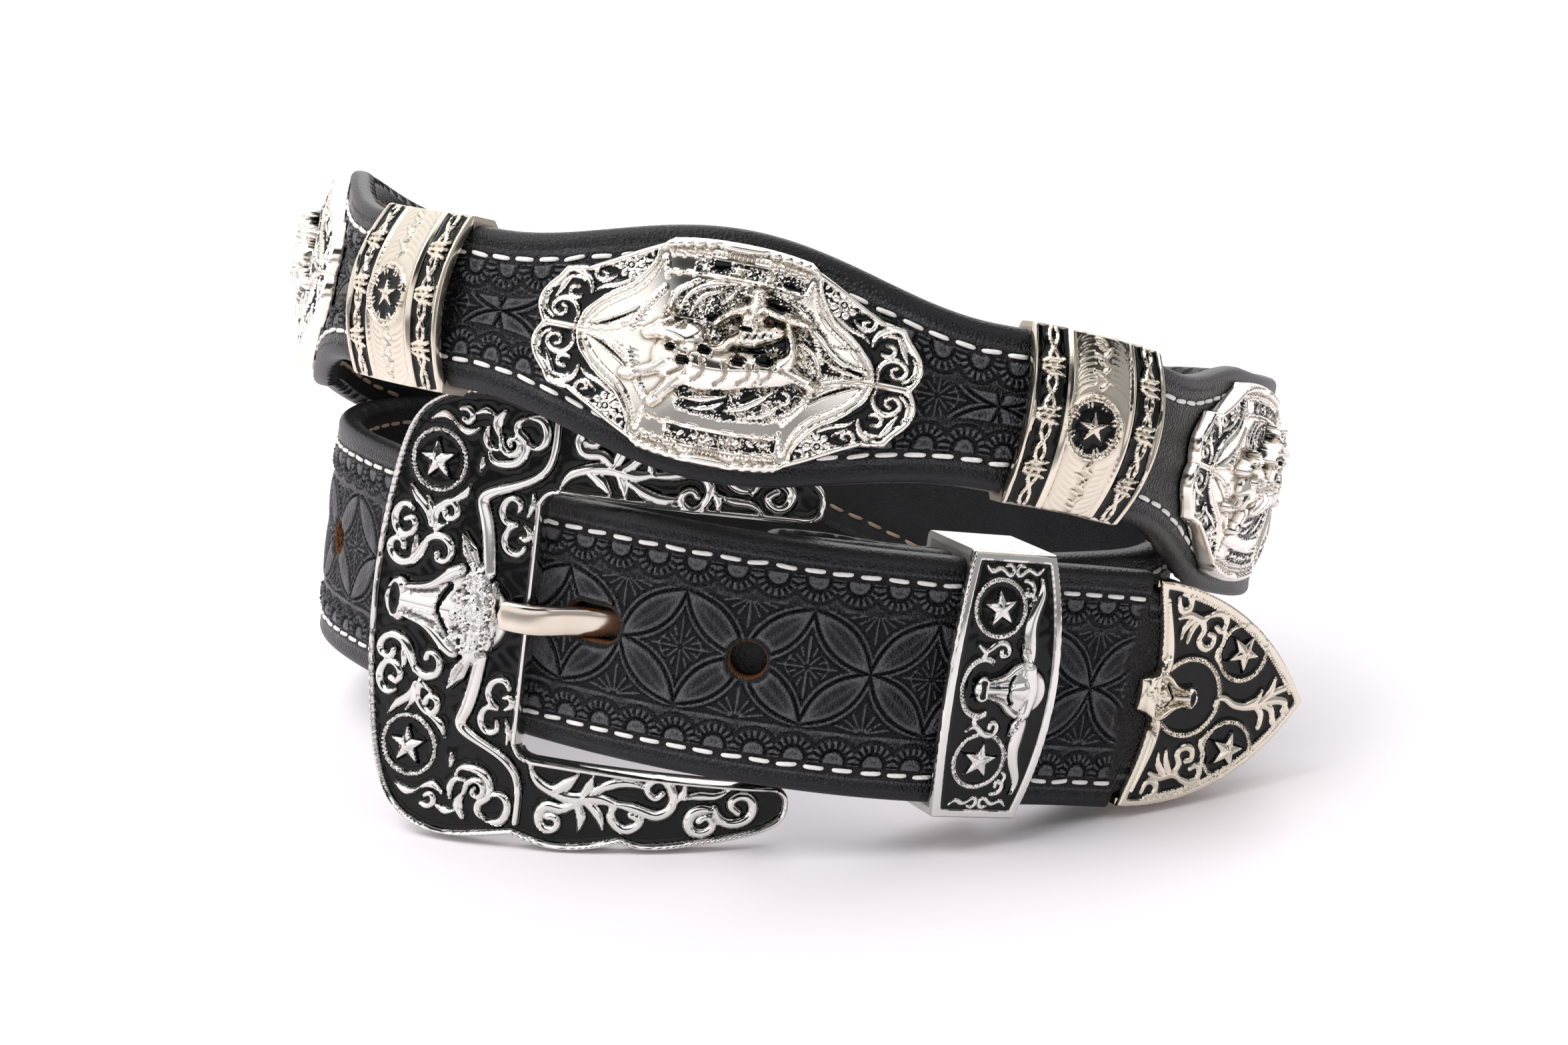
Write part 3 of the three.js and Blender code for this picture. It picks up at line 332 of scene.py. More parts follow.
def polygon_distance(outline):
    """Signed distance to a closed outline: least distance to its sides, negative where crossings are odd."""
    start = np.asarray(outline, float)
    side = np.roll(start, -1, axis=0) - start
    length = np.maximum(np.sum(side ** 2, axis=1), 1e-12)

    def distance(u, v):
        shape = np.shape(u)
        points = np.column_stack([np.ravel(u), np.ravel(v)])
        result = np.empty(len(points))
        for first in range(0, len(points), 6000):
            rel = points[first:first + 6000, None, :] - start[None]
            share = np.clip(np.sum(rel * side, axis=2) / length, 0, 1)
            away = rel - share[..., None] * side
            least = np.sqrt(np.min(np.sum(away ** 2, axis=2), axis=1))
            below = rel[..., 1] < 0
            end_below = (rel - side)[..., 1] < 0
            cross = side[:, 0] * rel[..., 1] - side[:, 1] * rel[..., 0]
            hits = (below != end_below) & ((cross > 0) == (side[:, 1] < 0))
            odd = np.sum(hits, axis=1) % 2 == 1
            result[first:first + 6000] = np.where(odd, -least, least)
        return result.reshape(shape)

    return distance


def both_halves(right):
    """Closed outline from the points of its right half, given from the top (0, half) down to the axis."""
    right = np.asarray(right, float)
    lower_right = right[::-1] * [1, -1]
    half = np.vstack([right, lower_right[1 if right[-1, 1] == 0 else 0:]])
    left = half[::-1] * [-1, 1]
    return np.vstack([half, left[1:-1]])


# Relief

def even(low, high, step):
    """Even values from low to high, about a step apart."""
    return np.linspace(low, high, max(2, round((high - low) / step) + 1))


def spots_along(points, pitch):
    """Places at an even pitch along a line, each with the line's way there."""
    line = smooth_line(points)
    knots = chord_lengths(line)
    at = even(0, knots[-1], pitch)
    spots = np.column_stack([np.interp(at, knots, column) for column in line.T])
    return zip(spots, unit(np.gradient(spots, axis=0)))


class Relief:
    """Height in millimetres and share of bare metal over the points (u, v) of a face."""

    def __init__(self, u, v, metal=0.0):
        self.u, self.v = u, v
        self.height = np.zeros_like(u)
        self.metal = np.full_like(u, metal)

    def near(self, points, reach):
        """Indices of the face's points in the box of one or more points, made larger by a reach."""
        points = np.atleast_2d(points)
        low, high = np.min(points, axis=0) - reach, np.max(points, axis=0) + reach
        return np.nonzero((self.u > low[0]) & (self.u < high[0]) & (self.v > low[1]) & (self.v < high[1]))

    def raise_to(self, index, height, share):
        """Keeps the higher of the old height and the new one, and lays metal where the new one is inside."""
        inside = share > 0
        self.height[index] = np.where(inside, np.maximum(self.height[index], height), self.height[index])
        self.metal[index] = np.maximum(self.metal[index], np.clip(share / 0.25, 0, 1))

    def line_share(self, points, radii):
        """How far inside a tapering line each point lies: 1 on the line and 0 at its radius."""
        line = smooth_line(points)
        radii = np.interp(np.linspace(0, 1, len(line)), np.linspace(0, 1, len(radii)), radii)
        index = self.near(line, radii.max())
        at = np.column_stack([self.u[index], self.v[index]])[:, None, :]
        side = np.diff(line, axis=0)
        share = np.clip(np.sum((at - line[:-1]) * side, axis=2) / np.sum(side ** 2, axis=1), 0, 1)
        away = np.linalg.norm(at - line[:-1] - share[..., None] * side, axis=2)
        radius = radii[:-1] + share * np.diff(radii)
        return index, 1 - np.min(away / np.maximum(radius, 1e-3), axis=1)

    def stroke(self, points, radii, height, base=0.0, sharp=0.0):
        """Raised line: round section, the height times sqrt(1 - q^2), or a ridge, height times (1 - q)."""
        radii = np.atleast_1d(np.asarray(radii, float))
        index, share = self.line_share(points, radii)
        q = 1 - np.clip(share, 0, 1)
        profile = (1 - sharp) * np.sqrt(1 - q ** 2) + sharp * (1 - q)
        self.raise_to(index, base + height * profile, share)

    def engrave(self, points, radius, depth, dark=0.0):
        """Sunken line with a round section, darkened by a share: enamel in some lines, painted shade in
        others.
        """
        index, share = self.line_share(points, np.atleast_1d(np.asarray(radius, float)))
        inside = np.clip(share, 0, 1)
        self.height[index] -= depth * np.sqrt(inside * (2 - inside))
        self.metal[index] *= 1 - dark * np.clip(inside * 3, 0, 1)

    def ground(self, outline, height):
        """Enamel ground at a height inside an outline, blended over a soft edge."""
        share = self.inside_share(outline, 0.3)
        self.height += (height - self.height) * share
        self.metal -= self.metal * share

    def inside_share(self, outline, soft):
        """Share of each point inside an outline, from 0 to 1 over a soft edge."""
        return np.clip(0.5 - polygon_distance(outline)(self.u, self.v) / soft, 0, 1)

    def blob(self, u, v, radius_u, radius_v, height, base=0.0, turn=0.0):
        """Half ellipsoid: height times sqrt(1 - q^2), where q is the distance in radii."""
        index = self.near([u, v], max(radius_u, radius_v))
        c, s = math.cos(turn), math.sin(turn)
        du, dv = self.u[index] - u, self.v[index] - v
        q = np.hypot((du * c + dv * s) / radius_u, (dv * c - du * s) / radius_v)
        self.raise_to(index, base + height * np.sqrt(np.clip(1 - q ** 2, 0, 1)), 1 - q)

    def ring(self, u, v, radius_u, radius_v, width, height, base=0.0, strands=0, beads=0, arc=(0, 360)):
        """Ring with a round section. Strands twist round it as a rope's do, and beads part it."""
        index = self.near([u, v], max(radius_u, radius_v) + width)
        du, dv = self.u[index] - u, self.v[index] - v
        angle = np.arctan2(dv / radius_v, du / radius_u)
        off = (np.hypot(du / radius_u, dv / radius_v) - 1) * (radius_u + radius_v) / 2
        q = np.clip(np.abs(off) / width, 0, 1)
        tall = np.sqrt(1 - q ** 2)
        if strands:
            tall = tall * (0.15 + 0.85 * np.abs(np.cos(strands * angle / 2 + 1.6 * off / width)))
        if beads:
            tall = tall * (0.15 + 0.85 * np.abs(np.cos(beads * angle / 2)) ** 0.6)
        turned = (np.degrees(angle) - arc[0]) % 360
        self.raise_to(index, base + height * tall, (1 - q) * (turned <= (arc[1] - arc[0] - 1e-6) % 360))

    def bead_line(self, points, radius, height, pitch):
        """Row of beads at an even pitch along a line."""
        for (u, v), _ in spots_along(points, pitch):
            self.blob(u, v, radius, radius, height)

    def rope_line(self, points, radius, height, pitch):
        """Twisted rope along a line: short slanting strands at an even pitch."""
        for spot, (du, dv) in spots_along(points, pitch):
            lean = np.array([du * 0.5 - dv, dv * 0.5 + du]) * radius * 0.8
            self.stroke([spot - lean, spot + lean], pitch * 0.46, height)

    def star(self, u, v, radius, height, base=0.0, turn=90.0, inner=0.42):
        """Five-pointed star cut as a low pyramid: height falls evenly from its middle to its outline."""
        index = self.near([u, v], radius)
        du, dv = self.u[index] - u, self.v[index] - v
        part = math.radians(36)
        angle = (np.arctan2(dv, du) - math.radians(turn)) % (2 * part)
        angle = np.minimum(angle, 2 * part - angle)
        edge = radius * inner * radius * math.sin(part)
        edge = edge / (radius * np.sin(angle) + radius * inner * np.sin(part - angle))
        share = 1 - np.hypot(du, dv) / edge
        self.raise_to(index, base + height * (0.35 + 0.65 * np.clip(share, 0, 1)), share)

    def draw(self, strokes, flip=(1, 1), shift=(0, 0), widen=1.0, base=0.0, sharp=0.0):
        """Strokes of a table with the columns points, radii and height, mirrored and moved."""
        for points, radii, height in strokes:
            self.stroke(np.array(points) * flip + shift, np.array(radii) * widen, height, base, sharp)


def blurred(height):
    """Running mean over a square of cells, by way of summed rows and columns."""
    size = 2 * BLUR_CELLS + 1
    for axis in (0, 1):
        padded = np.concatenate([
            np.repeat(np.take(height, [0], axis), BLUR_CELLS + 1, axis), height,
            np.repeat(np.take(height, [-1], axis), BLUR_CELLS, axis)], axis)
        total = np.cumsum(padded, axis)
        upper_rows = np.take(total, range(size, total.shape[axis]), axis)
        lower_rows = np.take(total, range(0, total.shape[axis] - size), axis)
        height = (upper_rows - lower_rows) / size
    return height


# Meshes

def make_mesh(name, points, faces, material, attributes):
    """Mesh object from points in millimetres and a list of face arrays, smooth but for its sharp edges."""
    mesh = bpy.data.meshes.new(name)
    points = (np.asarray(points) + FRAME_SHIFT) * MM
    faces = [np.asarray(f) for f in faces if len(f)]
    loops = np.concatenate([f.ravel() for f in faces]).astype(np.int32)
    totals = np.concatenate([np.full(len(f), f.shape[1]) for f in faces]).astype(np.int32)
    mesh.vertices.add(len(points))
    mesh.vertices.foreach_set("co", points.astype(np.float32).ravel())
    mesh.loops.add(len(loops))
    mesh.loops.foreach_set("vertex_index", loops)
    mesh.polygons.add(len(totals))
    mesh.polygons.foreach_set("loop_start", np.concatenate([[0], np.cumsum(totals)[:-1]]).astype(np.int32))
    mesh.polygons.foreach_set("loop_total", totals)
    mesh.polygons.foreach_set("use_smooth", np.ones(len(totals), bool))
    mesh.update(calc_edges=True)
    mesh.validate()
    for key, values in attributes.items():
        layer = mesh.attributes.new(key, "FLOAT", "POINT")
        layer.data.foreach_set("value", np.asarray(values, np.float32))
    mesh.set_sharp_from_angle(angle=SHARP_ANGLE)
    mesh.materials.append(material)
    obj = bpy.data.objects.new(name, mesh)
    bpy.context.scene.collection.objects.link(obj)
    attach(obj, BODY)
    return obj


def border_edges(quads, count):
    """Directed edges of the faces that no other face has the other way round."""
    start = quads.ravel()
    end = np.roll(quads, -1, axis=1).ravel()
    code = start.astype(np.int64) * count + end
    back = end.astype(np.int64) * count + start
    outer = ~np.isin(code, back)
    return np.column_stack([start[outer], end[outer]])


class Plate:
    """Closed plate on a curved face. Its front is a grid cut to an outline, its back is coarser."""

    def __init__(self, u, v, distance=None, half_width=None):
        """Rows and columns in millimetres, or rows as shares of a half width, and the outline's distance."""
        self.u, self.v = (np.array(a, float) for a in np.meshgrid(u, v))
        if half_width:
            self.v *= half_width(self.u)
        rows, columns = self.u.shape
        index = np.arange(rows * columns).reshape(rows, columns)
        quads = np.stack([index[:-1, :-1], index[:-1, 1:], index[1:, 1:], index[1:, :-1]], axis=-1)
        quads = quads.reshape(-1, 4)
        self.distance = distance
        if distance:
            middle_u = self.u.ravel()[quads].mean(axis=1)
            middle_v = self.v.ravel()[quads].mean(axis=1)
            quads = quads[distance(middle_u, middle_v) < 0]
        self.quads = quads
        self.border = border_edges(quads, self.u.size)
        if distance:
            self.draw_to_outline(rows, columns, half_width is not None)

    def draw_to_outline(self, rows, columns, hold_grid_edge):
        """Moves each border point along the distance's slope until it lies on the outline."""
        ids = np.unique(self.border)
        if hold_grid_edge:
            r, c = np.divmod(ids, columns)
            ids = ids[(r > 0) & (r < rows - 1) & (c > 0) & (c < columns - 1)]
        u, v = self.u.ravel(), self.v.ravel()
        for _ in range(3):
            here = self.distance(u[ids], v[ids])
            du = self.distance(u[ids] + 0.02, v[ids]) - self.distance(u[ids] - 0.02, v[ids])
            dv = self.distance(u[ids], v[ids] + 0.02) - self.distance(u[ids], v[ids] - 0.02)
            size = np.maximum(np.hypot(du, dv), 1e-3)
            u[ids] -= here * du / size
            v[ids] -= here * dv / size
        self.u, self.v = u.reshape(rows, columns), v.reshape(rows, columns)

    def solid(self, front, back, place, extra, values):
        """Points, faces and values of the closed plate.

        back is a function of (u, v) or one height, extra are its points inside the border, and each value
        comes with the one that the back takes."""
        used, local = np.unique(self.quads, return_inverse=True)
        u, v = self.u.ravel()[used], self.v.ravel()[used]
        quads = local.reshape(self.quads.shape)
        border = np.searchsorted(used, self.border)
        top = place(u, v, front.ravel()[used])
        rim, edge = np.unique(border, return_inverse=True)
        edge = edge.reshape(border.shape)
        coords = np.vstack([np.column_stack([u[rim], v[rim]]), np.reshape(extra, (-1, 2))]).tolist()
        spots, _, triangles, origins, _, _ = delaunay_2d_cdt(coords, edge.tolist(), [], 2, 1e-7)
        spots = np.array([tuple(s) for s in spots])
        target = np.arange(len(spots)) + len(rim)
        for i, origin in enumerate(origins):
            on_rim = [k for k in origin if k < len(rim)]
            if on_rim:
                target[i] = on_rim[0]
        back_u = np.concatenate([u[rim], spots[:, 0]])
        back_v = np.concatenate([v[rim], spots[:, 1]])
        bottom = place(back_u, back_v, back(back_u, back_v) if callable(back) else back)
        count = len(top)
        walls = np.column_stack([border[:, 1], border[:, 0], count + edge[:, 0], count + edge[:, 1]])
        lids = target[np.array([t for t in triangles if len(t) == 3])][:, ::-1] + count
        points = np.vstack([top, bottom])
        faces = [quads, walls, lids]
        kept = {key: np.concatenate([np.ravel(a)[used], np.full(len(back_u), behind)])
                for key, (a, behind) in values.items()}
        return drop_unused(points, faces, kept)


def drop_unused(points, faces, values):
    """Leaves out the points that no face uses."""
    used = np.unique(np.concatenate([f.ravel() for f in faces]))
    renumber = np.zeros(len(points), int)
    renumber[used] = np.arange(len(used))
    return points[used], [renumber[f] for f in faces], {k: a[used] for k, a in values.items()}


def join_shells(*shells):
    """One set of points, faces and values from several closed ones."""
    points, faces, values = [], [], {}
    count = 0
    for shell_points, shell_faces, shell_values in shells:
        faces += [f + count for f in shell_faces]
        points.append(shell_points)
        count += len(shell_points)
        for key, plain in (("metal", 1.0), ("cavity", 0.0)):
            values.setdefault(key, []).append(shell_values.get(key, np.full(len(shell_points), plain)))
    return np.vstack(points), faces, {key: np.concatenate(a) for key, a in values.items()}


def swept(place, section, along):
    """Closed section of (v, w) points carried along u values, with flat ends."""
    v, w = np.array(section, float).T
    return tube(np.stack([place(u, v, w) for u in along]))


def tube(rings, closed=False):
    """Points and faces of rings of points joined in order, with a fan over each end unless they close."""
    count, size = rings.shape[:2]
    index = np.arange(count * size).reshape(count, size)
    turned = np.roll(index, -1, axis=1)
    corners = [index, turned, np.roll(turned, -1, axis=0), np.roll(index, -1, axis=0)]
    quads = np.stack([c if closed else c[:-1] for c in corners], axis=-1).reshape(-1, 4)
    points = rings.reshape(-1, 3)
    if closed:
        return points, [quads], {}
    middles = rings[[0, -1]].mean(axis=1)
    first, last = len(points), len(points) + 1
    start = np.column_stack([np.full(size, first), turned[0], index[0]])
    end = np.column_stack([np.full(size, last), index[-1], turned[-1]])
    return np.vstack([points, middles]), [quads, start, end], {}


def outward(shell):
    """The shell with its faces turned where its signed volume is negative."""
    points, faces, values = shell
    centre = points.mean(axis=0)
    volume = 0.0
    for f in faces:
        a, b = points[f[:, 0]] - centre, points[f[:, 1]] - centre
        for k in range(2, f.shape[1]):
            c = points[f[:, k]] - centre
            volume += np.sum(np.cross(a, b) * c) / 6
            b = c
    return (points, [f[:, ::-1] for f in faces], values) if volume < 0 else shell


def brushed(shell):
    """The shell turned outward, with the metal value of brushed metal."""
    points, faces, values = outward(shell)
    return points, faces, {**values, "metal": np.full(len(points), 2.0)}


def inner_grid(distance, low, high, step, inset):
    """Points of an even grid that lie deeper inside an outline than an inset."""
    u, v = np.meshgrid(np.arange(low[0], high[0], step), np.arange(low[1], high[1], step))
    deep = distance(u, v) < -inset
    return np.column_stack([u[deep], v[deep]])


def rounded_edge(inside, radius):
    """How far a face falls at its edge: a quarter circle over the last radius inside the outline."""
    inside = np.clip(inside, 0, radius)
    return radius - np.sqrt(np.maximum(radius ** 2 - (radius - inside) ** 2, 0))


# Finishes

class Nodes:
    """Adds and joins the nodes of one tree."""

    def __init__(self, tree):
        self.tree = tree

    def add(self, kind, inputs, **settings):
        """Adds a node with its settings, and links or sets its inputs."""
        node = self.tree.nodes.new(kind)
        for key, value in settings.items():
            setattr(node, key, value)
        for key, value in inputs.items():
            if isinstance(value, bpy.types.NodeSocket):
                self.tree.links.new(value, node.inputs[key])
            else:
                node.inputs[key].default_value = value
        return node

    def math(self, operation, a, b, clamp=False):
        return self.add("ShaderNodeMath", {0: a, 1: b}, operation=operation, use_clamp=clamp).outputs[0]

    def mix(self, factor, a, b):
        return self.add("ShaderNodeMix", {0: factor, 2: a, 3: b}, data_type="FLOAT").outputs[0]

    def mix_colour(self, factor, a, b):
        """Mix of two colours, each a socket or red, green and blue."""
        a, b = (c if isinstance(c, bpy.types.NodeSocket) else (*c, 1) for c in (a, b))
        return self.add("ShaderNodeMix", {0: factor, 6: a, 7: b}, data_type="RGBA").outputs[2]

    def attribute(self, name):
        return self.add("ShaderNodeAttribute", {}, attribute_name=name).outputs["Fac"]

    def place(self):
        return self.add("ShaderNodeTexCoord", {}).outputs["Object"]

    def noise(self, vector, scale, detail=3.0):
        return self.add("ShaderNodeTexNoise", {
            "Vector": vector, "Scale": scale, "Detail": detail, "Roughness": 0.55}).outputs["Fac"]

    def ramp(self, value, low, high, start=0.0, end=1.0):
        return self.add("ShaderNodeMapRange", {
            "Value": value, "From Min": low, "From Max": high, "To Min": start, "To Max": end,
        }, clamp=True).outputs[0]

    def wear(self, vector, scale):
        """Smudges and fine height of the wear group, at a scale."""
        outputs = self.add("ShaderNodeGroup", {}, node_tree=fine_wear())
        self.tree.links.new(vector, outputs.inputs["Vector"])
        outputs.inputs["Scale"].default_value = scale
        return outputs.outputs["Smudge"], outputs.outputs["Height"]


def fine_wear():
    """Node group of handling marks: soft blotches in Smudge, scratches with grain in Height."""
    if "fine_wear" in bpy.data.node_groups:
        return bpy.data.node_groups["fine_wear"]
    tree = bpy.data.node_groups.new("fine_wear", "ShaderNodeTree")
    sockets = [("Vector", "INPUT", "NodeSocketVector"), ("Scale", "INPUT", "NodeSocketFloat"),
               ("Smudge", "OUTPUT", "NodeSocketFloat"), ("Height", "OUTPUT", "NodeSocketFloat")]
    for key, way, kind in sockets:
        tree.interface.new_socket(name=key, in_out=way, socket_type=kind)
    n = Nodes(tree)
    vector, scale = n.add("NodeGroupInput", {}).outputs[:2]
    stretch = n.add("ShaderNodeMapping", {"Vector": vector, "Scale": (1.0, 1.0, 9.0)}).outputs[0]
    grain = n.noise(vector, n.math("MULTIPLY", scale, 14.0), 2.0)
    scratch = n.noise(stretch, n.math("MULTIPLY", scale, 6.0), 2.0)
    height = n.math("ADD", n.math("MULTIPLY", grain, 0.6), n.math("MULTIPLY", scratch, 0.4))
    n.add("NodeGroupOutput", {"Smudge": n.noise(vector, scale, 4.0), "Height": height})
    return tree


def node_material(name, finish, *colours):
    """Material whose Principled BSDF gets its inputs from a function of the nodes, the place and colours.

    The function also gives a bump, as height, strength and distance, or None."""
    material = bpy.data.materials.new(name)
    material.use_nodes = True
    material.node_tree.nodes.clear()
    n = Nodes(material.node_tree)
    inputs, bump = finish(n, n.place(), *colours)
    if bump:
        height, strength, distance = bump
        node = n.add("ShaderNodeBump", {"Height": height, "Strength": strength, "Distance": distance})
        inputs["Normal"] = node.outputs[0]
    shader = n.add("ShaderNodeBsdfPrincipled", inputs)
    n.add("ShaderNodeOutputMaterial", {"Surface": shader.outputs[0]})
    return material


def tinted(colour, share):
    """A colour with each part times a share."""
    return tuple(part * share for part in colour)


def cast_metal(n, point, colour, shade, enamel, roughness):
    """Plated casting by its metal value: gloss enamel at 0, polished metal at 1 and brushed metal at 2."""
    smudge, height = n.wear(point, 260.0)
    bare, cavity = n.attribute("metal"), n.attribute("cavity")
    metal, brushed = n.ramp(bare, 0.35, 0.65), n.ramp(bare, 1.2, 1.8)
    tint = n.mix_colour(n.math("MULTIPLY", cavity, 0.8, clamp=True), colour, shade)
    tint = n.mix_colour(n.ramp(smudge, 0.35, 0.75, 0.0, 0.12), tint, shade)
    rough = n.ramp(smudge, 0.3, 0.75, roughness * 0.8, roughness * 1.35)
    rough = n.mix(brushed, n.math("ADD", rough, n.math("MULTIPLY", cavity, 0.18)), 0.5)
    return {
        "Base Color": n.mix_colour(metal, enamel, tint), "Metallic": metal, "Specular IOR Level": 0.25,
        "Roughness": n.mix(metal, n.ramp(smudge, 0.3, 0.8, 0.06, 0.14), rough),
    }, (height, 0.1, 0.00005)


def leather(n, point, colour):
    """Black leather: pebbled grain by cells and noise, smooth crests painted paler as a highlight, rough
    hollows, brown cuts.
    """
    cells = n.add("ShaderNodeTexVoronoi", {"Vector": point, "Scale": 2600.0}, feature="SMOOTH_F1")
    pebble = n.ramp(cells.outputs["Distance"], 0.6, 0.05)
    smudge, fine = n.wear(point, 160.0)
    edge, matted, crest = n.attribute("edge"), n.attribute("matted"), n.attribute("crest")
    cut = n.ramp(n.attribute("cut"), 0.3, 0.75)
    rough = n.ramp(smudge, 0.3, 0.7, 0.28, 0.4)
    rough = n.math("ADD", rough, n.math("MULTIPLY", matted, 0.12))
    rough = n.math("ADD", rough, n.ramp(crest, 0.45, 0.1, 0.0, 0.3))
    rough = n.mix(edge, rough, 0.4)
    tint = n.mix_colour(n.ramp(smudge, 0.35, 0.75), colour, tinted(colour, 1.7))
    # Crests are painted much paler than the leather: a painted highlight along the ridges of the tooling
    painted_crest_highlight = (*tinted(colour[:2], 20), colour[2] * 18)
    tint = n.mix_colour(n.ramp(crest, 0.54, 0.9, 0.0, 0.85), tint, painted_crest_highlight)
    grain = n.math("MULTIPLY", pebble, n.math("SUBTRACT", 1.0, n.math("MULTIPLY", edge, 0.85)))
    height = n.math("ADD", n.math("MULTIPLY", grain, 0.7), n.math("MULTIPLY", fine, 0.4))
    height = n.math("ADD", height, n.math("MULTIPLY", n.noise(point, 3200.0, 2.0), matted))
    return {
        "Base Color": n.mix_colour(cut, tint, CUT_LEATHER), "Roughness": n.mix(cut, rough, 0.75),
        "Specular IOR Level": 0.31,
    }, (height, 1.0, 0.0005)


def thread(n, point, colour):
    """Waxed sewing thread: slanting twist lines and a little dirt."""
    twist = n.add("ShaderNodeTexWave", {"Vector": point, "Scale": 520.0, "Distortion": 1.5},
                  wave_type="BANDS", bands_direction="DIAGONAL").outputs["Fac"]
    dirt = n.ramp(n.noise(point, 400.0), 0.4, 0.8, 0.0, 0.35)
    tint = n.mix_colour(dirt, colour, tinted(colour, 0.55))
    return {"Base Color": tint, "Roughness": 0.6}, (twist, 0.6, 0.0001)


def paper(n, point, colour):
    """Matt pale paper with a faint grain, which runs into shade in front of what the camera sees."""
    tint = n.mix_colour(n.noise(point, 3.0), colour, tinted(colour, 0.98))
    along = n.add("ShaderNodeSeparateXYZ", {0: point}).outputs[1]
    tint = n.mix_colour(n.ramp(along, *FLOOR_SHADE), tint, tinted(colour, 0.28))
    return {"Base Color": tint, "Roughness": 0.6}, None


CUT_LEATHER = (0.13, 0.046, 0.011)
FLOOR_SHADE = (-0.28, -0.46)
MATERIALS = {}
ENAMEL_CLIMB = 0.36
ENAMEL_WAVE = 0.025


def material_of(key):
    """Material by its short name, made once with the colours of the sidebar."""
    c = bpy.context.scene.belt_colours
    # Columns: name, finish, its colours, roughness of a metal
    rows = {
        "silver": ("silver_metal", cast_metal, c.silver, c.shade, c.enamel, 0.1),
        "warm": ("champagne_metal", cast_metal, c.prong, c.gold_shade, c.enamel, 0.15),
        "gold": ("pale_gold_metal", cast_metal, c.gold, c.gold_shade, c.enamel, 0.12),
        "concho": ("concho_metal", cast_metal, c.concho, c.gold_shade, c.enamel, 0.12),
        "leather": ("tooled_leather", leather, c.leather),
        "thread": ("white_thread", thread, c.thread),
        "lining_thread": ("tan_thread", thread, c.lining_thread),
        "floor": ("pale_floor", paper, c.floor),
    }
    if key not in MATERIALS:
        MATERIALS[key] = node_material(*rows[key])
    return MATERIALS[key]


def cast_plate(distance, low, high, step, metal=0.0):
    """Plate cut to an outline, its relief, and how far inside the outline each point lies."""
    plate = Plate(even(low[0], high[0], step), even(low[1], high[1], step), distance)
    return plate, Relief(plate.u, plate.v, metal), -distance(plate.u, plate.v)


def round_rim(relief, inside, reach, height):
    """Rim with a round section along the outline, two reaches wide."""
    share = np.clip(1 - np.abs(inside - reach) / (reach + 0.03), 0, 1)
    where = np.nonzero(share > 0)
    relief.raise_to(where, height * np.sqrt(1 - (1 - share[where]) ** 2), share[where])


def flat_rim(relief, inside, width, bare, height):
    """Raised flat rim along the outline, whose metal ends a little beyond its width."""
    relief.height += height * np.clip((width - inside) / 0.3, 0, 1)
    relief.metal = np.clip((bare - inside) / 0.36, 0, 1)


def settle_enamel(relief):
    """Lets the enamel climb a little where it meets metal, and gives the ground slow waves."""
    near_metal = blurred(relief.metal) * (1 - relief.metal)
    waves = np.sin(relief.u * 1.9 + 1.3 * np.sin(relief.v * 1.1)) * np.sin(relief.v * 1.7 + relief.u * 0.6)
    relief.height += ENAMEL_CLIMB * near_metal + ENAMEL_WAVE * waves * (1 - relief.metal)


def settled(relief, depth):
    """Values of a casting, whose enamel settles.

    A hollow is how far a point lies below the mean height round it, as a share of a depth."""
    hollow = np.clip((blurred(relief.height) - relief.height) / depth, 0, 1)
    settle_enamel(relief)
    return {"metal": (relief.metal, 1.0), "cavity": (hollow * relief.metal, 0.0)}


# Leather strap

def strap_width(arc):
    """Full width: narrow under the bands, wide under the conchos, and plain beyond the outer conchos."""
    from_concho = np.abs(arc - CONCHO_ARC)
    nearest = np.abs((from_concho + CONCHO_PITCH / 2) % CONCHO_PITCH - CONCHO_PITCH / 2)
    bell = 0.5 + 0.5 * np.cos(np.pi * np.minimum(nearest / SCALLOP_HALF, 1))
    scalloped = STRAP_NARROW + (STRAP_CONCHO_WIDTH - STRAP_NARROW) * bell
    share = np.clip((from_concho - CONCHO_PITCH) / SCALLOP_HALF, 0, 1)
    plain = STRAP_CONCHO_WIDTH + (STRAP_WIDTH - STRAP_CONCHO_WIDTH) * share
    width = np.where(from_concho > CONCHO_PITCH, plain, scalloped)
    width = np.where(arc > BELT.length, STRAP_WIDTH - 0.8, width)
    reach = np.sqrt(TIP_ARCH_RADIUS ** 2 - np.clip(TIP_LENGTH - arc, 0, TIP_LENGTH) ** 2)
    in_tip = 2 * (reach - (TIP_ARCH_RADIUS - TIP_HALF_HEIGHT) - 1.4)
    return np.where(arc < TIP_LENGTH + 0.7, in_tip, width)


def strap_thickness(arc):
    """Leather thickness: skived thin over the last stretch before the fold."""
    share = np.clip((BELT.length - arc - SKIVE_END) / SKIVE_RUN, 0, 1)
    return STRAP_SKIVED + (STRAP_THICKNESS - STRAP_SKIVED) * share


SLOT_U = 26.5
FOLD_RUN = 20


def slot_arcs():
    """First and last arc length of the folded strap that lie beyond a place along the buckle."""
    rel = STRAP_LINE.points - BUCKLE_AXIS
    u = BUCKLE_RADIUS * np.arctan2(rel @ BUCKLE_ALONG, -rel @ BUCKLE_IN)
    found = STRAP_LINE.arcs[(u > SLOT_U) & (STRAP_LINE.arcs > BELT.length - FOLD_RUN)]
    return found[0], found[-1]


SLOT_ARCS = slot_arcs()
SLOT_HALF = PRONG_WIDTH / 2 + 0.6


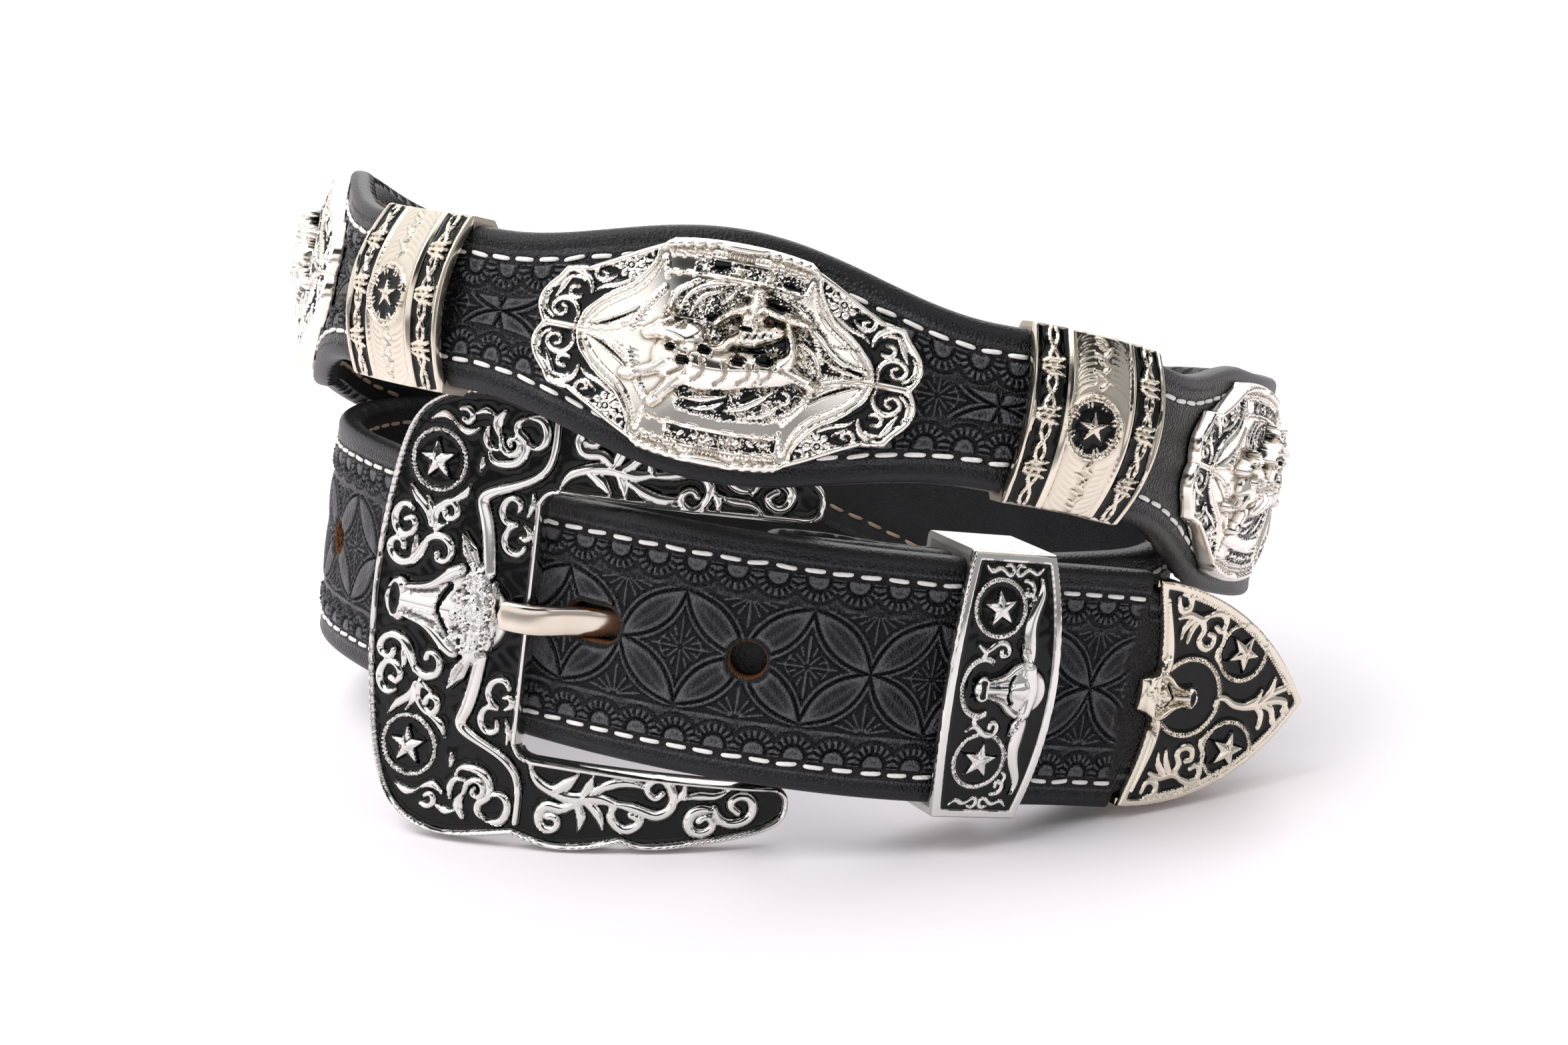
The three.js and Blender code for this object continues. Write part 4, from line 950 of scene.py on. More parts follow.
def hole_distance(arc, v):
    """Signed distance to the holes, positive inside them.

    They are the punched ones, of which the prong's is drawn out, and the slot for the prong's ring."""
    slot_v = v - (PRONG_V - BUCKLE_SHIFT)
    found = np.minimum(np.minimum(arc - SLOT_ARCS[0], SLOT_ARCS[1] - arc), SLOT_HALF - np.abs(slot_v))
    for i in range(HOLE_COUNT):
        centre = HOLE_FIRST + i * HOLE_PITCH
        stretch, rise = 0.0, 0.0
        if i == PRONG_HOLE["index"]:
            centre, stretch, rise = centre + PRONG_HOLE["shift"], PRONG_HOLE["stretch"], PRONG_HOLE["rise"]
        off = np.maximum(np.abs(arc - centre) - stretch, 0)
        found = np.maximum(found, HOLE_RADIUS - np.hypot(off, v - rise))
    return found


TOOL_PERIOD = 18.6
TOOL_FIRST = 78.6
TOOL_MIDDLE = 0.3
TOOL_HALF = 8.7
PETAL_BOW = 2.3
PETAL_SWELL = 0.45
PETAL_CLEAR = 1.1
# Lines round a petal. Columns: distance from its side, height, width
PETAL_LINES = [(0, -0.42, 0.2), (0.5, 0.28, 0.2), (0.95, -0.28, 0.17)]
SUN_PITCH = 5.88
SUN_FIRST = 88.0
SUN_REACH = 4.7
SUN_RADIUS = 1.6
SUN_SWELL = 0.3
SUN_RAYS = 9
# Lines round a half sun. Columns: radius, height, width
SUN_LINES = [(1.75, -0.32, 0.16), (3.65, -0.22, 0.15)]
# Rays of the stamped star and fan. Columns: turn in degrees, start, end
STAR_RAYS = [(0, 0.3, 4.8), (90, 0.3, 5.6), (45, 0.3, 3.0), (22, 1.5, 3.6), (68, 1.5, 4.0)]
FAN_RAYS = [(90, 0.2, 5.0), (60, 0.4, 4.2), (35, 0.4, 4.6), (14, 0.4, 5.0)]
STITCH_INSET = 4.2
STITCH_START = 35
STITCH_END = 8
STITCH_RADIUS = 0.3
GROOVE_DEPTH = 0.2
CREASE_INSET = 2.2
CREASE_DEPTH = 0.09
CREST_DEPTH = 0.12
EDGE_RADIUS = 1.5


def line_mark(distance, width=0.17):
    """Section of a stamped line: a bell over the distance from it."""
    return np.exp(-(distance / width) ** 2)


def ray(du, dv, turn, start, end):
    """Mark along a ray from the origin at an angle in degrees, between two distances."""
    c, s = math.cos(math.radians(turn)), math.sin(math.radians(turn))
    t = du * c + dv * s
    return line_mark(du * s - dv * c) * np.clip((t - start) / 0.3, 0, 1) * np.clip((end - t) / 0.9, 0, 1)


def tooling(arc, v, half):
    """Stamped pattern of the leather: heights, and a value for its pebbled and matted ground.

    Lens petals run from each node of the centre line to points half a period on. Each is a swell between
    two arcs whose distance grows as 1 - (t / half)^2, with a ridge and a groove outside them. Between four
    petals lies a star of eight rays, and half suns with rays stand along both stitch lines."""
    cell = (arc - TOOL_FIRST) / TOOL_PERIOD
    along = np.abs(cell - np.round(cell)) * TOOL_PERIOD
    up = np.abs(v - TOOL_MIDDLE)
    length = math.hypot(TOOL_PERIOD / 2, TOOL_HALF)
    du, dv = TOOL_PERIOD / 2 / length, TOOL_HALF / length
    t = along * du + up * dv - length / 2
    off = np.abs(up * du - along * dv)
    share = np.clip(1 - (2 * t / length) ** 2, 0, 1)
    bow = PETAL_BOW * share
    on_petal = np.clip(share / 0.15, 0, 1)
    petal = np.clip(1 - off / np.maximum(bow, 1e-3), 0, 1) * (share > 0)
    depth = PETAL_SWELL * np.sqrt(petal)
    for gap, rise, width in PETAL_LINES:
        depth += rise * line_mark(off - bow - gap, width) * on_petal
    ground = np.clip((off - bow - PETAL_CLEAR) / 0.2, 0, 1)

    # Star on the centre line half a period from each node
    a, b = TOOL_PERIOD / 2 - along, up
    marks = sum(ray(a, b, *row) for row in STAR_RAYS)
    marks = marks + line_mark(np.abs(a) + np.abs(b) * 0.55 - 3.3, 0.15) * (b < 5)

    # Fan in the open triangle above and below each node
    a, b = along, TOOL_HALF + 0.5 - up
    fan = sum(ray(a, b, *row) for row in FAN_RAYS)
    marks = marks + fan * (b > 0)
    depth += ground * (0.4 * np.clip(marks, 0, 1) - 0.18)
    depth -= 0.2 * line_mark(up - TOOL_HALF - 0.55, 0.15)
    matted = ground * (1 - np.clip(marks, 0, 1)) + 0.6 * (petal > 0.1)

    # Half suns along the stitch lines
    sun = (arc - SUN_FIRST) / SUN_PITCH
    sun_u = (sun - np.round(sun)) * SUN_PITCH
    drop = half - STITCH_INSET - 1.25 - np.abs(v)
    radius = np.hypot(sun_u, drop)
    angle = np.arctan2(drop, sun_u)
    suns = SUN_SWELL * np.clip(1 - (radius / SUN_RADIUS) ** 2, 0, 1) ** 0.5
    spokes = np.clip((np.abs(np.cos(SUN_RAYS * (angle - np.pi / 2))) - 0.45) / 0.4, 0, 1)
    suns += 0.5 * spokes * np.clip((radius - 2.0) / 0.2, 0, 1) * np.clip((3.35 - radius) / 0.25, 0, 1)
    for line_radius, rise, width in SUN_LINES:
        suns += rise * line_mark(radius - line_radius, width)
    zone = np.clip((SUN_REACH - drop) / 0.3, 0, 1) * np.clip((drop + 0.5) / 0.3, 0, 1)
    depth = depth * (1 - zone) + zone * suns
    matted = matted * (1 - zone)
    inside = np.clip((half - STITCH_INSET - 0.7 - np.abs(v)) / 0.25, 0, 1)
    return depth * inside, matted * inside


def hidden_by_fitting(arc):
    """1 where a concho or band covers the strap, and 0 in the open."""
    rows = [(k * CONCHO_PITCH, 20) for k in (-1, 0, 1)] + [(k * BAND_OFFSET, 9) for k in (-1, 1)]
    return sum((np.abs(arc - CONCHO_ARC - offset) < reach).astype(float) for offset, reach in rows)


STRAP_START = 17.2
RIGHT_CONCHO_ARC = CONCHO_ARC - CONCHO_PITCH
# Stretches of the strap's grid, and below them those counted from the right concho. Columns: end, step
COLUMNS = [(31, 3.0), (34, 0.6), (127, 0.225), (205, 0.5), (225, 1.0)]
COLUMNS_BESIDE = [
    (-66, 3.4), (-24, 1.2), (20, 2.2), (45.5, 0.3), (64, 1.5), (84, 0.3), (132, 1.6), (151.5, 0.3),
    (170, 1.5), (190, 0.35), (235, 1.6), (262, 0.8),
]
# Stretches that the photograph shows tooled. Columns: start, length of its fade, end, length of its fade
TOOLED = [(34, 2, 222, 12), (RIGHT_CONCHO_ARC + 44, 4, RIGHT_CONCHO_ARC + 210, 10)]


def strap_columns(first, last):
    """Arc lengths of the strap's columns: close where the tooling faces the viewer, wide elsewhere."""
    rows = COLUMNS + [(RIGHT_CONCHO_ARC + offset, step) for offset, step in COLUMNS_BESIDE]
    rows += [(BELT.length - FOLD_RUN, 3.4), (STRAP_LINE.length, 0.9)]
    starts = [STRAP_START] + [end for end, _ in rows]
    parts = [even(start, end, step) for start, (end, step) in zip(starts, rows)]
    arcs = np.unique(np.round(np.concatenate(parts + [[first, last]]), 4))
    return arcs[(arcs >= first) & (arcs <= last)]


def build_strap(first, last):
    """Stretch of the strap as a plate over (arc, height), whose grid follows the width.

    Its edges are round. Its values: edge near the edges, matted on the tooling's ground, crest where a point
    stands above the mean round it, which the leather paints paler as a highlight, and cut at the rims of
    holes."""
    arcs = strap_columns(first, last)
    tooled = np.linspace(-0.74, 0.74, 117)
    margin = np.concatenate([np.linspace(0.76, 0.91, 5), [0.935, 0.955, 0.975, 0.99, 1.0]])
    rows = np.concatenate([-margin[::-1], tooled, margin])
    plate = Plate(-arcs[::-1], rows, lambda u, v: hole_distance(-u, v), lambda u: strap_width(-u) / 2)
    arc, v = -plate.u, plate.v
    half = strap_width(arc) / 2
    edge_gap = np.minimum(half - np.abs(v), np.where(arc < TIP_LENGTH + 1.4, 9.0, arc - TIP_LENGTH + 3))
    near_hole = hole_distance(arc, v)
    depth, matted = tooling(arc, v, half)
    open_share = np.clip((near_hole + 0.5) / -0.5, 0, 1)
    fade = sum(np.clip((arc - start) / rise, 0, 1) * np.clip((end - arc) / drop, 0, 1)
               for start, rise, end, drop in TOOLED)
    height = depth * open_share * fade
    height -= GROOVE_DEPTH * line_mark(half - STITCH_INSET - np.abs(v), 0.5)
    height -= CREASE_DEPTH * line_mark(half - CREASE_INSET - np.abs(v), 0.35)
    height = height * (1 - 0.6 * hidden_by_fitting(arc))
    fall = rounded_edge(edge_gap, EDGE_RADIUS) * strap_thickness(arc) / STRAP_THICKNESS
    fall += rounded_edge(-near_hole, 0.35)
    front = strap_thickness(arc) / 2 + height - fall
    edge_value = np.clip((EDGE_RADIUS + 0.6 - edge_gap) / 0.5, 0, 1)
    crest = 0.5 + 0.5 * np.clip((height - blurred(height)) / CREST_DEPTH, -1, 1)
    cut = np.clip((near_hole + 0.25) / 0.2, 0, 1)

    def back(u, v):
        gap = strap_width(-u) / 2 - np.abs(v)
        fall_back = rounded_edge(gap, EDGE_RADIUS) * strap_thickness(-u) / STRAP_THICKNESS
        return -strap_thickness(-u) / 2 + fall_back + GROOVE_DEPTH * line_mark(gap - STITCH_INSET, 0.6)

    inner = []
    for arc_at in even(first + 1.5, last - 1.5, 3.4):
        half_at = float(strap_width(arc_at)) / 2
        for gap in (0.35, 0.9, 1.5, 3.4, 4.2, 5.0):
            inner += [(-arc_at, half_at - gap), (-arc_at, gap - half_at)]
        inner += [(-arc_at, share * half_at) for share in (-0.4, 0.0, 0.4)]
    inner = np.array(inner)
    inner = inner[hole_distance(-inner[:, 0], inner[:, 1]) < -0.6]
    values = {"edge": (edge_value, 1.0), "matted": (matted * fade, 0.0), "crest": (crest, 0.5),
              "cut": (cut, 0.0)}
    return plate.solid(front, back, lambda u, v, w: STRAP_LINE.place(-u, v, w), inner, values)


def build_stitches(face, pitch, dash):
    """Stitches along both edges of a face: each is a short capsule that dips into the leather at its ends."""
    count = round((STRAP_LINE.length - STITCH_END - STITCH_START) / pitch)
    across = np.repeat([1.0, -1.0], count)
    rng = np.random.default_rng(7)
    middles = np.tile(STITCH_START + 0.5 + pitch * np.arange(count), 2)
    middles = middles + rng.normal(0, 0.08, len(middles))
    tilt = rng.normal(0, 0.09, len(middles))
    steps = np.linspace(-1, 1, 9 if face > 0 else 6)
    around = np.linspace(0, 2 * np.pi, 9 if face > 0 else 7)[:-1]
    s = middles[:, None, None] + steps[None, :, None] * dash / 2
    swell = np.sqrt(np.clip(1 - steps ** 4, 0.02, 1))[None, :, None] * STITCH_RADIUS
    side = np.cos(around)[None, None, :] * swell * 1.15
    up = np.sin(around)[None, None, :] * swell
    lift = 0.18 - 0.5 * steps[None, :, None] ** 4
    line = strap_width(s) / 2 - STITCH_INSET
    v = across[:, None, None] * line + side + tilt[:, None, None] * steps[None, :, None]
    w = face * (strap_thickness(s) / 2 - 0.12 + lift) + up
    s, v, w = np.broadcast_arrays(s, v, w)
    shells = [outward(tube(ring)) for ring in STRAP_LINE.place(s, v, w)]
    points, faces, _ = join_shells(*shells)
    quads = [f for f in faces if f.shape[1] == 4]
    fans = [f for f in faces if f.shape[1] == 3]
    return points, [np.vstack(quads), np.vstack(fans)], {}


# Steer heads and scrollwork shared by the castings

def steer_head(relief, u, v, size, facing, height):
    """Steer's head seen from the front. facing is +1 or -1: the way along u that the muzzle points."""
    def spot(a, b):
        return (u + facing * a * size, v + b * size)

    def limb(points, radii, tall, sharp=0.0):
        relief.stroke([spot(a, b) for a, b in points], np.array(radii) * size, tall * height, sharp=sharp)

    limb([(0, 0), (3, 0), (7, 0), (11, 0)], [6.2, 4.6, 2.9, 2.7], 0.72)
    limb([(1, 0), (4, 0), (7, 0), (11, 0)], [3.0, 1.9, 1.4, 1.7], 0.98)
    limb([(-0.6, -5.6), (-1.4, 0), (-0.6, 5.6)], [1.8, 2.4, 1.8], 1.0)
    limb([(11.9, -1.7), (12.5, 0), (11.9, 1.7)], [1.7, 2.0, 1.7], 1.15, 0.1)
    relief.engrave([spot(12.2, -1.6), spot(12.2, 1.6)], 0.95 * size, 0.45 * height, 0.95)
    # Dark crescent in front of the curls: painted shadow under the fringe
    relief.engrave([spot(3.5, 3.4), spot(4.7, 1.4), spot(4.7, -1.4), spot(3.5, -3.4)], 0.5 * size,
                   0.6 * height, 0.95)
    for side in (1, -1):
        limb([(10.6, 2.1 * side), (8.4, 2.4 * side), (6.6, 3.0 * side), (5, 4.1 * side), (3.6, 5.3 * side),
              (2.2, 6.1 * side)], [0.5, 0.65, 0.75, 0.9, 1.05, 1.0], 0.95)
        limb([(-0.3, 6.4 * side), (1, 8.6 * side), (2.2, 11.4 * side)], [0.8, 1.35, 0.25], 0.9)
        relief.engrave([spot(0.4, 7.6 * side), spot(1.7, 10 * side)], 0.4 * size, 0.4 * height, 0.3)
        relief.engrave([spot(13.9, 1.5 * side), spot(14.2, 2.1 * side)], 0.35 * size, 0.4 * height, 0.8)
        relief.engrave([spot(9.6, 1.7 * side), spot(5.4, 2.5 * side)], 0.3 * size, 0.25 * height, 0.5)


def curly_hair(relief, u, v, reach_u, reach_v, pitch, base, height):
    """Tight curls: open rings on a staggered grid inside an ellipse, each turned its own way."""
    for i, row in enumerate(even(-reach_v, reach_v, pitch * 0.87)):
        for j, at in enumerate(even(-reach_u - pitch, reach_u + pitch, pitch) + (i % 2) * pitch / 2):
            if math.hypot(at / reach_u, row / reach_v) <= 1:
                start = (i * 137 + j * 61) % 360
                relief.ring(u + at, v + row, 0.31 * pitch, 0.31 * pitch, 0.24 * pitch,
                            height * (0.8 + 0.2 * math.cos(start)), base, arc=(start, start + 285))


def star_rings(relief, radius, height, rows, beads=0, strands=0):
    """Stars inside rings of beads or rope. Columns of the rows: u, v, turn of the star in degrees."""
    for u, v, turn in rows:
        relief.ring(u, v, radius, radius, 0.4 * radius / 4.7, height, strands=strands, beads=beads)
        relief.star(u, v, radius * 0.76, height * 2, turn=turn, inner=0.4)


# Buckle

# Half outlines from the plate's left end over its top and its bottom. Columns: u, v
BUCKLE_TOP = [
    (-32.5, 0), (-32.3, 7), (-31.4, 15), (-29.9, 23), (-28.6, 27), (-26.4, 30.4), (-23, 32.8),
    (-19, 34.1), (-14, 34.6), (-9, 33.8),
]
BUCKLE_BOTTOM = [
    (-32.5, 0), (-32.3, -7), (-31.4, -15), (-29.9, -23), (-28.6, -27), (-26.5, -30.8), (-23, -33.6),
    (-19, -34.8), (-14, -34.8), (-9, -33.8),
]
BUCKLE_ARM = [(-5, 32.8), (-2, 33.5), (1.2, 33.9), (5.5, 33.5), (9, 32.6), (11.8, 31.6)]
BUCKLE_ARM_END = [
    (11.8, 31.6), (14, 32.1), (17, 32), (23, 30.7), (29.5, 29), (34, 27.3), (36.2, 25.3), (36.6, 23.4),
    (36.2, 21.6), (34.6, 20.4), (32, 20.3),
]
WINDOW_CORNER = [(-2.8, 20.3), (-4.4, 19.8), (-5.3, 18.4)]

# Columns of the scroll tables: points, radii spread evenly from end to end, height
PLATE_SCROLLS = [
    ([(-26.5, 14.2), (-28, 14.8), (-29.5, 13.5), (-29.6, 11.5), (-28.2, 10), (-26.5, 10.5), (-25.9, 12),
      (-26.5, 12.8), (-27.6, 12.5)], [0.3, 0.55, 0.65, 0.65, 0.6, 0.55, 0.5, 0.5, 0.5], 1.05),
    ([(-23.2, 10.5), (-24, 9), (-25, 7.2), (-26.5, 6), (-28.2, 5.8), (-29.7, 6.8), (-30.1, 8.2), (-29.2, 9.2),
      (-27.8, 9), (-27.5, 8.1)], [0.4, 0.65, 0.75, 0.75, 0.7, 0.65, 0.6, 0.55, 0.5, 0.5], 1.1),
    ([(-25.4, 10.2), (-25.5, 8.5), (-25.8, 6.8)], [0.3, 0.65, 0.3], 1.0),
    ([(-23.8, 9.5), (-22.8, 10.5), (-21, 10.9), (-19.5, 10), (-19.2, 8.5), (-20.2, 7.2), (-21.2, 7.2),
      (-21.6, 8.2)], [0.4, 0.6, 0.65, 0.65, 0.6, 0.55, 0.5, 0.5], 1.05),
    ([(-22.2, 12), (-22.4, 14.5), (-21.2, 16), (-19.8, 16.5), (-18.9, 15.5), (-19.2, 14.2), (-20.5, 14),
      (-21, 15)], [0.5, 0.6, 0.6, 0.6, 0.55, 0.5, 0.5, 0.5], 1.0),
    ([(-19.8, 16.8), (-18, 18), (-17, 19.8)], [0.4, 0.65, 0.15], 0.95),
    ([(-23.1, 12.4), (-24, 14.5), (-26, 16.2), (-27.2, 18)], [0.4, 0.65, 0.65, 0.15], 0.95),
    ([(-22.9, 12.4), (-23.2, 15), (-24.2, 16.8)], [0.4, 0.5, 0.15], 0.9),
    ([(-22.3, 12), (-20.2, 13.2)], [0.55, 0.2], 0.9),
    ([(-24.7, 28.5), (-22.8, 29.5), (-20.8, 28.8)], [0.2, 0.65, 0.3], 0.95),
    ([(-20.5, 28.5), (-18.5, 27.5), (-16.5, 28.5)], [0.25, 0.6, 0.2], 0.9),
    ([(-19.9, 30.8), (-18.8, 31), (-17.9, 30), (-18.5, 29), (-19.4, 29.4)], [0.4, 0.5, 0.5, 0.45, 0.4], 0.95),
    ([(-12.8, 31.5), (-13.8, 29.5), (-13.2, 27.9)], [0.4, 0.85, 0.4], 1.0),
    ([(-15.1, 29), (-15.4, 27.5), (-14.8, 26), (-13, 25.6)], [0.2, 0.55, 0.55, 0.3], 0.95),
    ([(-17.2, 30.6), (-15.6, 31.2), (-14.4, 30.8)], [0.3, 0.55, 0.2], 0.8),
    ([(-12.9, 27.6), (-12.5, 26), (-11.2, 25.3), (-9.9, 26.4), (-10.6, 27.8), (-11.6, 27.3), (-11.3, 26.6)],
     [0.4, 0.5, 0.55, 0.55, 0.5, 0.45, 0.4], 1.15),
    ([(-9.2, 31), (-10.4, 30.2), (-10.5, 29), (-9.2, 27.8), (-8.9, 26), (-10, 24.2), (-12, 23.6), (-14, 24),
      (-14.5, 25)], [0.3, 0.6, 0.65, 0.65, 0.65, 0.65, 0.65, 0.5, 0.3], 1.05),
    ([(-8.8, 31.2), (-6.8, 31), (-5.9, 29.5), (-6.2, 27.5), (-7.5, 26.8), (-8.5, 27.2)],
     [0.35, 0.65, 0.7, 0.65, 0.55, 0.4], 1.1),
    ([(-15.6, 24), (-15.6, 23), (-15.7, 22)], [0.25, 0.5, 0.2], 0.85),
]
SIDE_SCROLLS = [
    ([(-6.9, 20), (-7, 18), (-7.5, 16.2)], [0.2, 0.5, 0.2], 0.85),
    ([(-9, 16.8), (-8.8, 18), (-10, 18.8), (-11.2, 18), (-11.6, 16.5), (-10.8, 15), (-9.2, 14.8)],
     [0.3, 0.5, 0.5, 0.55, 0.55, 0.5, 0.45], 0.9),
    ([(-9.2, 14.8), (-10.2, 14), (-10.8, 12.2), (-9.8, 10.6), (-8.2, 10.5), (-7.5, 11.5)],
     [0.45, 0.5, 0.55, 0.55, 0.5, 0.4], 0.9),
    ([(-7.8, 14.8), (-6.9, 13.8), (-7.4, 12.8), (-8.2, 13)], [0.3, 0.45, 0.45, 0.35], 0.85),
]
ARM_SCROLLS = [
    ([(-3, 21.3), (-2, 23.4), (1, 25), (4.5, 25.5), (7.5, 25), (10.5, 25.6)],
     [0.25, 0.7, 0.8, 0.9, 0.85, 0.6], 1.0),
    ([(1, 24.8), (3, 23.4), (4.5, 21.8)], [0.7, 0.85, 0.25], 0.95),
    ([(5.4, 25), (6.4, 23), (6.8, 21.4)], [0.6, 0.7, 0.2], 0.9),
    ([(7, 24), (9.5, 22.6), (13, 22), (15, 22.5)], [0.5, 0.75, 0.7, 0.3], 0.95),
    ([(4.5, 26), (2.5, 27.4), (0, 27.4), (-0.9, 29.4), (0.5, 31), (2, 30.3), (1.8, 29), (0.6, 28.9)],
     [0.5, 0.75, 0.75, 0.75, 0.7, 0.65, 0.55, 0.6], 1.05),
    ([(4.5, 26), (5.5, 28), (5.4, 30.4)], [0.6, 0.75, 0.25], 0.9),
    ([(6, 25.6), (8, 27.4), (9, 29.6)], [0.6, 0.75, 0.25], 0.95),
    ([(10.5, 25.6), (10, 27.5), (11.2, 29), (13.4, 29), (14.4, 27.6), (13, 26.9)],
     [0.5, 0.65, 0.7, 0.7, 0.6, 0.6], 0.95),
    ([(10.6, 25.4), (14, 26), (17, 26.5), (18.8, 25), (18.5, 22.2), (17, 20.9), (15.3, 21.5), (15.1, 23),
      (16.4, 23.8), (17.2, 23)], [0.5, 0.75, 0.8, 0.8, 0.75, 0.7, 0.65, 0.6, 0.55, 0.5], 1.1),
    ([(19.4, 24), (20.4, 22.6), (20.4, 21)], [0.4, 0.6, 0.2], 0.85),
    ([(20.6, 23.4), (23, 22.8), (25, 22.7), (27.4, 21.2)], [0.35, 0.65, 0.55, 0.2], 0.9),
    ([(25.2, 24.8), (23, 25), (21.6, 26.4), (22, 28.2), (24, 28.5), (25.3, 27.1), (24.2, 26), (23.2, 26.7)],
     [0.45, 0.7, 0.75, 0.75, 0.7, 0.65, 0.55, 0.55], 1.05),
    ([(25.2, 24.4), (26.5, 26.4), (29, 26.6), (31, 25), (30.6, 22.9), (28.6, 22.5), (27.6, 23.8),
      (28.8, 24.9)], [0.45, 0.7, 0.75, 0.75, 0.7, 0.65, 0.6, 0.55], 1.05),
]
BUCKLE_HORN = (
    [(-12.5, 7), (-13.2, 12), (-14.2, 16), (-14.6, 18), (-13.2, 19.2), (-10.2, 20.5), (-7.5, 21.8),
     (-5.2, 24), (-4.4, 26.5), (-4.3, 31.5)],
    [1.15, 1.2, 1.2, 1.15, 1.0, 0.78, 0.74, 0.7, 0.66, 0.62, 0.6], 1.35)
BUCKLE_GROUND = 0.9
BUCKLE_BACK = -1.5
BUCKLE_STEP = 0.215


def buckle_outline():
    """Outline of the buckle as three runs of smooth curves that meet in cusps, open to the right."""
    arm = [smooth_line(BUCKLE_ARM)[1:], smooth_line(BUCKLE_ARM_END)[1:]]
    top = np.vstack([smooth_line(BUCKLE_TOP + BUCKLE_ARM[:1])] + arm)
    bottom = np.vstack([smooth_line(BUCKLE_BOTTOM + [(-5, -32.8)])] + [line * [1, -1] for line in arm])
    corner = smooth_line(WINDOW_CORNER, 4)
    return np.vstack([top, corner, (corner * [1, -1])[::-1], bottom[::-1]])


def build_buckle():
    """Cast frame: rims along its outline and window, enamel ground, scrollwork, stars and a steer's head."""
    distance = polygon_distance(buckle_outline())
    plate, r, inside = cast_plate(distance, (-33, -35.2), (37, 35), BUCKLE_STEP)
    # Half of the rim's width: less round the plate, more round the window and the arms
    reach = 0.42 + 0.12 * np.clip((plate.u + 16) / 5, 0, 1)
    round_rim(r, inside, reach, 1.1)
    r.metal = np.maximum(r.metal, np.clip((2 * reach - inside) / 0.45 + 0.5, 0, 1))
    for side in (1, -1):
        r.draw(PLATE_SCROLLS, (1, side), widen=1.15, sharp=CURL_SHARP)
        r.draw(SIDE_SCROLLS, (1, side), (0, 0 if side > 0 else 1.2), 1.15, sharp=CURL_SHARP)
        r.draw(ARM_SCROLLS, (1, side), (0, -0.1 * side), 1.2, sharp=CURL_SHARP)
        r.draw([BUCKLE_HORN], (1, side), (0, 0 if side > 0 else 0.9))
    star_rings(r, 4.6, 0.95, [(-22.9, 22.5, 97), (-23.2, -22.2, 94)], beads=44)
    steer_head(r, -14.6, 0.2, 1.06, -1, 2.1)
    curly_hair(r, -14.1, 0.3, 3.5, 6.9, 1.45, 1.5, 0.9)
    r.stroke([(-11.2, -4.6), (-10.7, 0.4), (-11.2, 5.4)], [0.5, 0.8, 0.5], 1.9)
    values = settled(r, 0.5)
    front = BUCKLE_GROUND + r.height - rounded_edge(inside, 0.7)
    inner = inner_grid(distance, (-33, -35), (37, 35), 2.6, 0.9)
    return plate.solid(front, BUCKLE_BACK, on_buckle, inner, values)


# Prong

PRONG_LINE = [
    (30.2, -1.6), (24, -2.7), (15, -3.9), (9, -3.9), (4.5, -2.5), (0.5, 0), (-2.2, 2.2), (-4.6, 3.5),
    (-7, 3.6), (-9.6, 3.5),
]


def build_prong():
    """Round-topped arm along its line, closed by a dome at its tip, with a ring round the buckle's bar."""
    line = smooth_line(PRONG_LINE, 8)
    slope = np.arctan2(*unit(np.gradient(line, axis=0)).T[::-1])
    knots = chord_lengths(line)
    to_tip = knots[-1] - knots
    half = PRONG_WIDTH / 2
    blunt = np.sqrt(np.clip(1 - np.clip(1 - to_tip / PRONG_DOME, 0, 1) ** 2.6, 0.02, 1))
    around = np.linspace(0, 2 * np.pi, 33)[:-1]
    side, up = (np.sign(a) * np.abs(a) ** 0.6 for a in (np.cos(around), np.sin(around)))
    v = half * blunt[:, None] * side[None, :]
    o = PRONG_THICKNESS / 2 * (0.35 + 0.65 * blunt[:, None]) * up[None, :]
    u = line[:, :1] + o * np.sin(slope)[:, None]
    w = line[:, 1:] - o * np.cos(slope)[:, None]
    arm = tube(on_buckle(u, v + PRONG_V - BUCKLE_SHIFT, w))
    turn = np.linspace(0, 2 * np.pi, 49)[:-1]
    ring_half, reach = half - RING_CHAMFER, BAR_RADIUS + GAP
    flank = [(ring_half, 0), (ring_half, RING_WALL - RING_CHAMFER), (ring_half - RING_CHAMFER, RING_WALL)]
    section = [(-a, b) for a, b in flank] + flank[::-1]
    centre = on_buckle(BAR_ARC, PRONG_V - BUCKLE_SHIFT, 0)
    across = unit(np.cross(RISE, [0.0, 1.0, 0.0]))
    inward = np.cross(RISE, across)
    rings = np.stack([[centre + RISE * a + (across * math.cos(t) + inward * math.sin(t)) * (reach + b)
                       for a, b in section] for t in turn])
    return join_shells(outward(arm), outward(tube(rings, closed=True)))


# Keeper

KEEPER_FRAME = [rows[0] for rows in BILLET.at(KEEPER_ARC)]


def on_keeper(u, v, w):
    """Points on the keeper: u to the viewer's right, v up, w out of the billet's middle."""
    u, v, w = np.broadcast_arrays(*(np.asarray(a, float) for a in (u, v, w)))
    point, across, out = KEEPER_FRAME
    right = np.cross(across, out)
    return (point + right * u[..., None] + across * (v + KEEPER_RAISE)[..., None] + out * w[..., None])


def arch(v, half):
    """Share of an arch: 1 in the middle and 0 at both ends."""
    return 1 - np.clip(v / half, -1, 1) ** 2


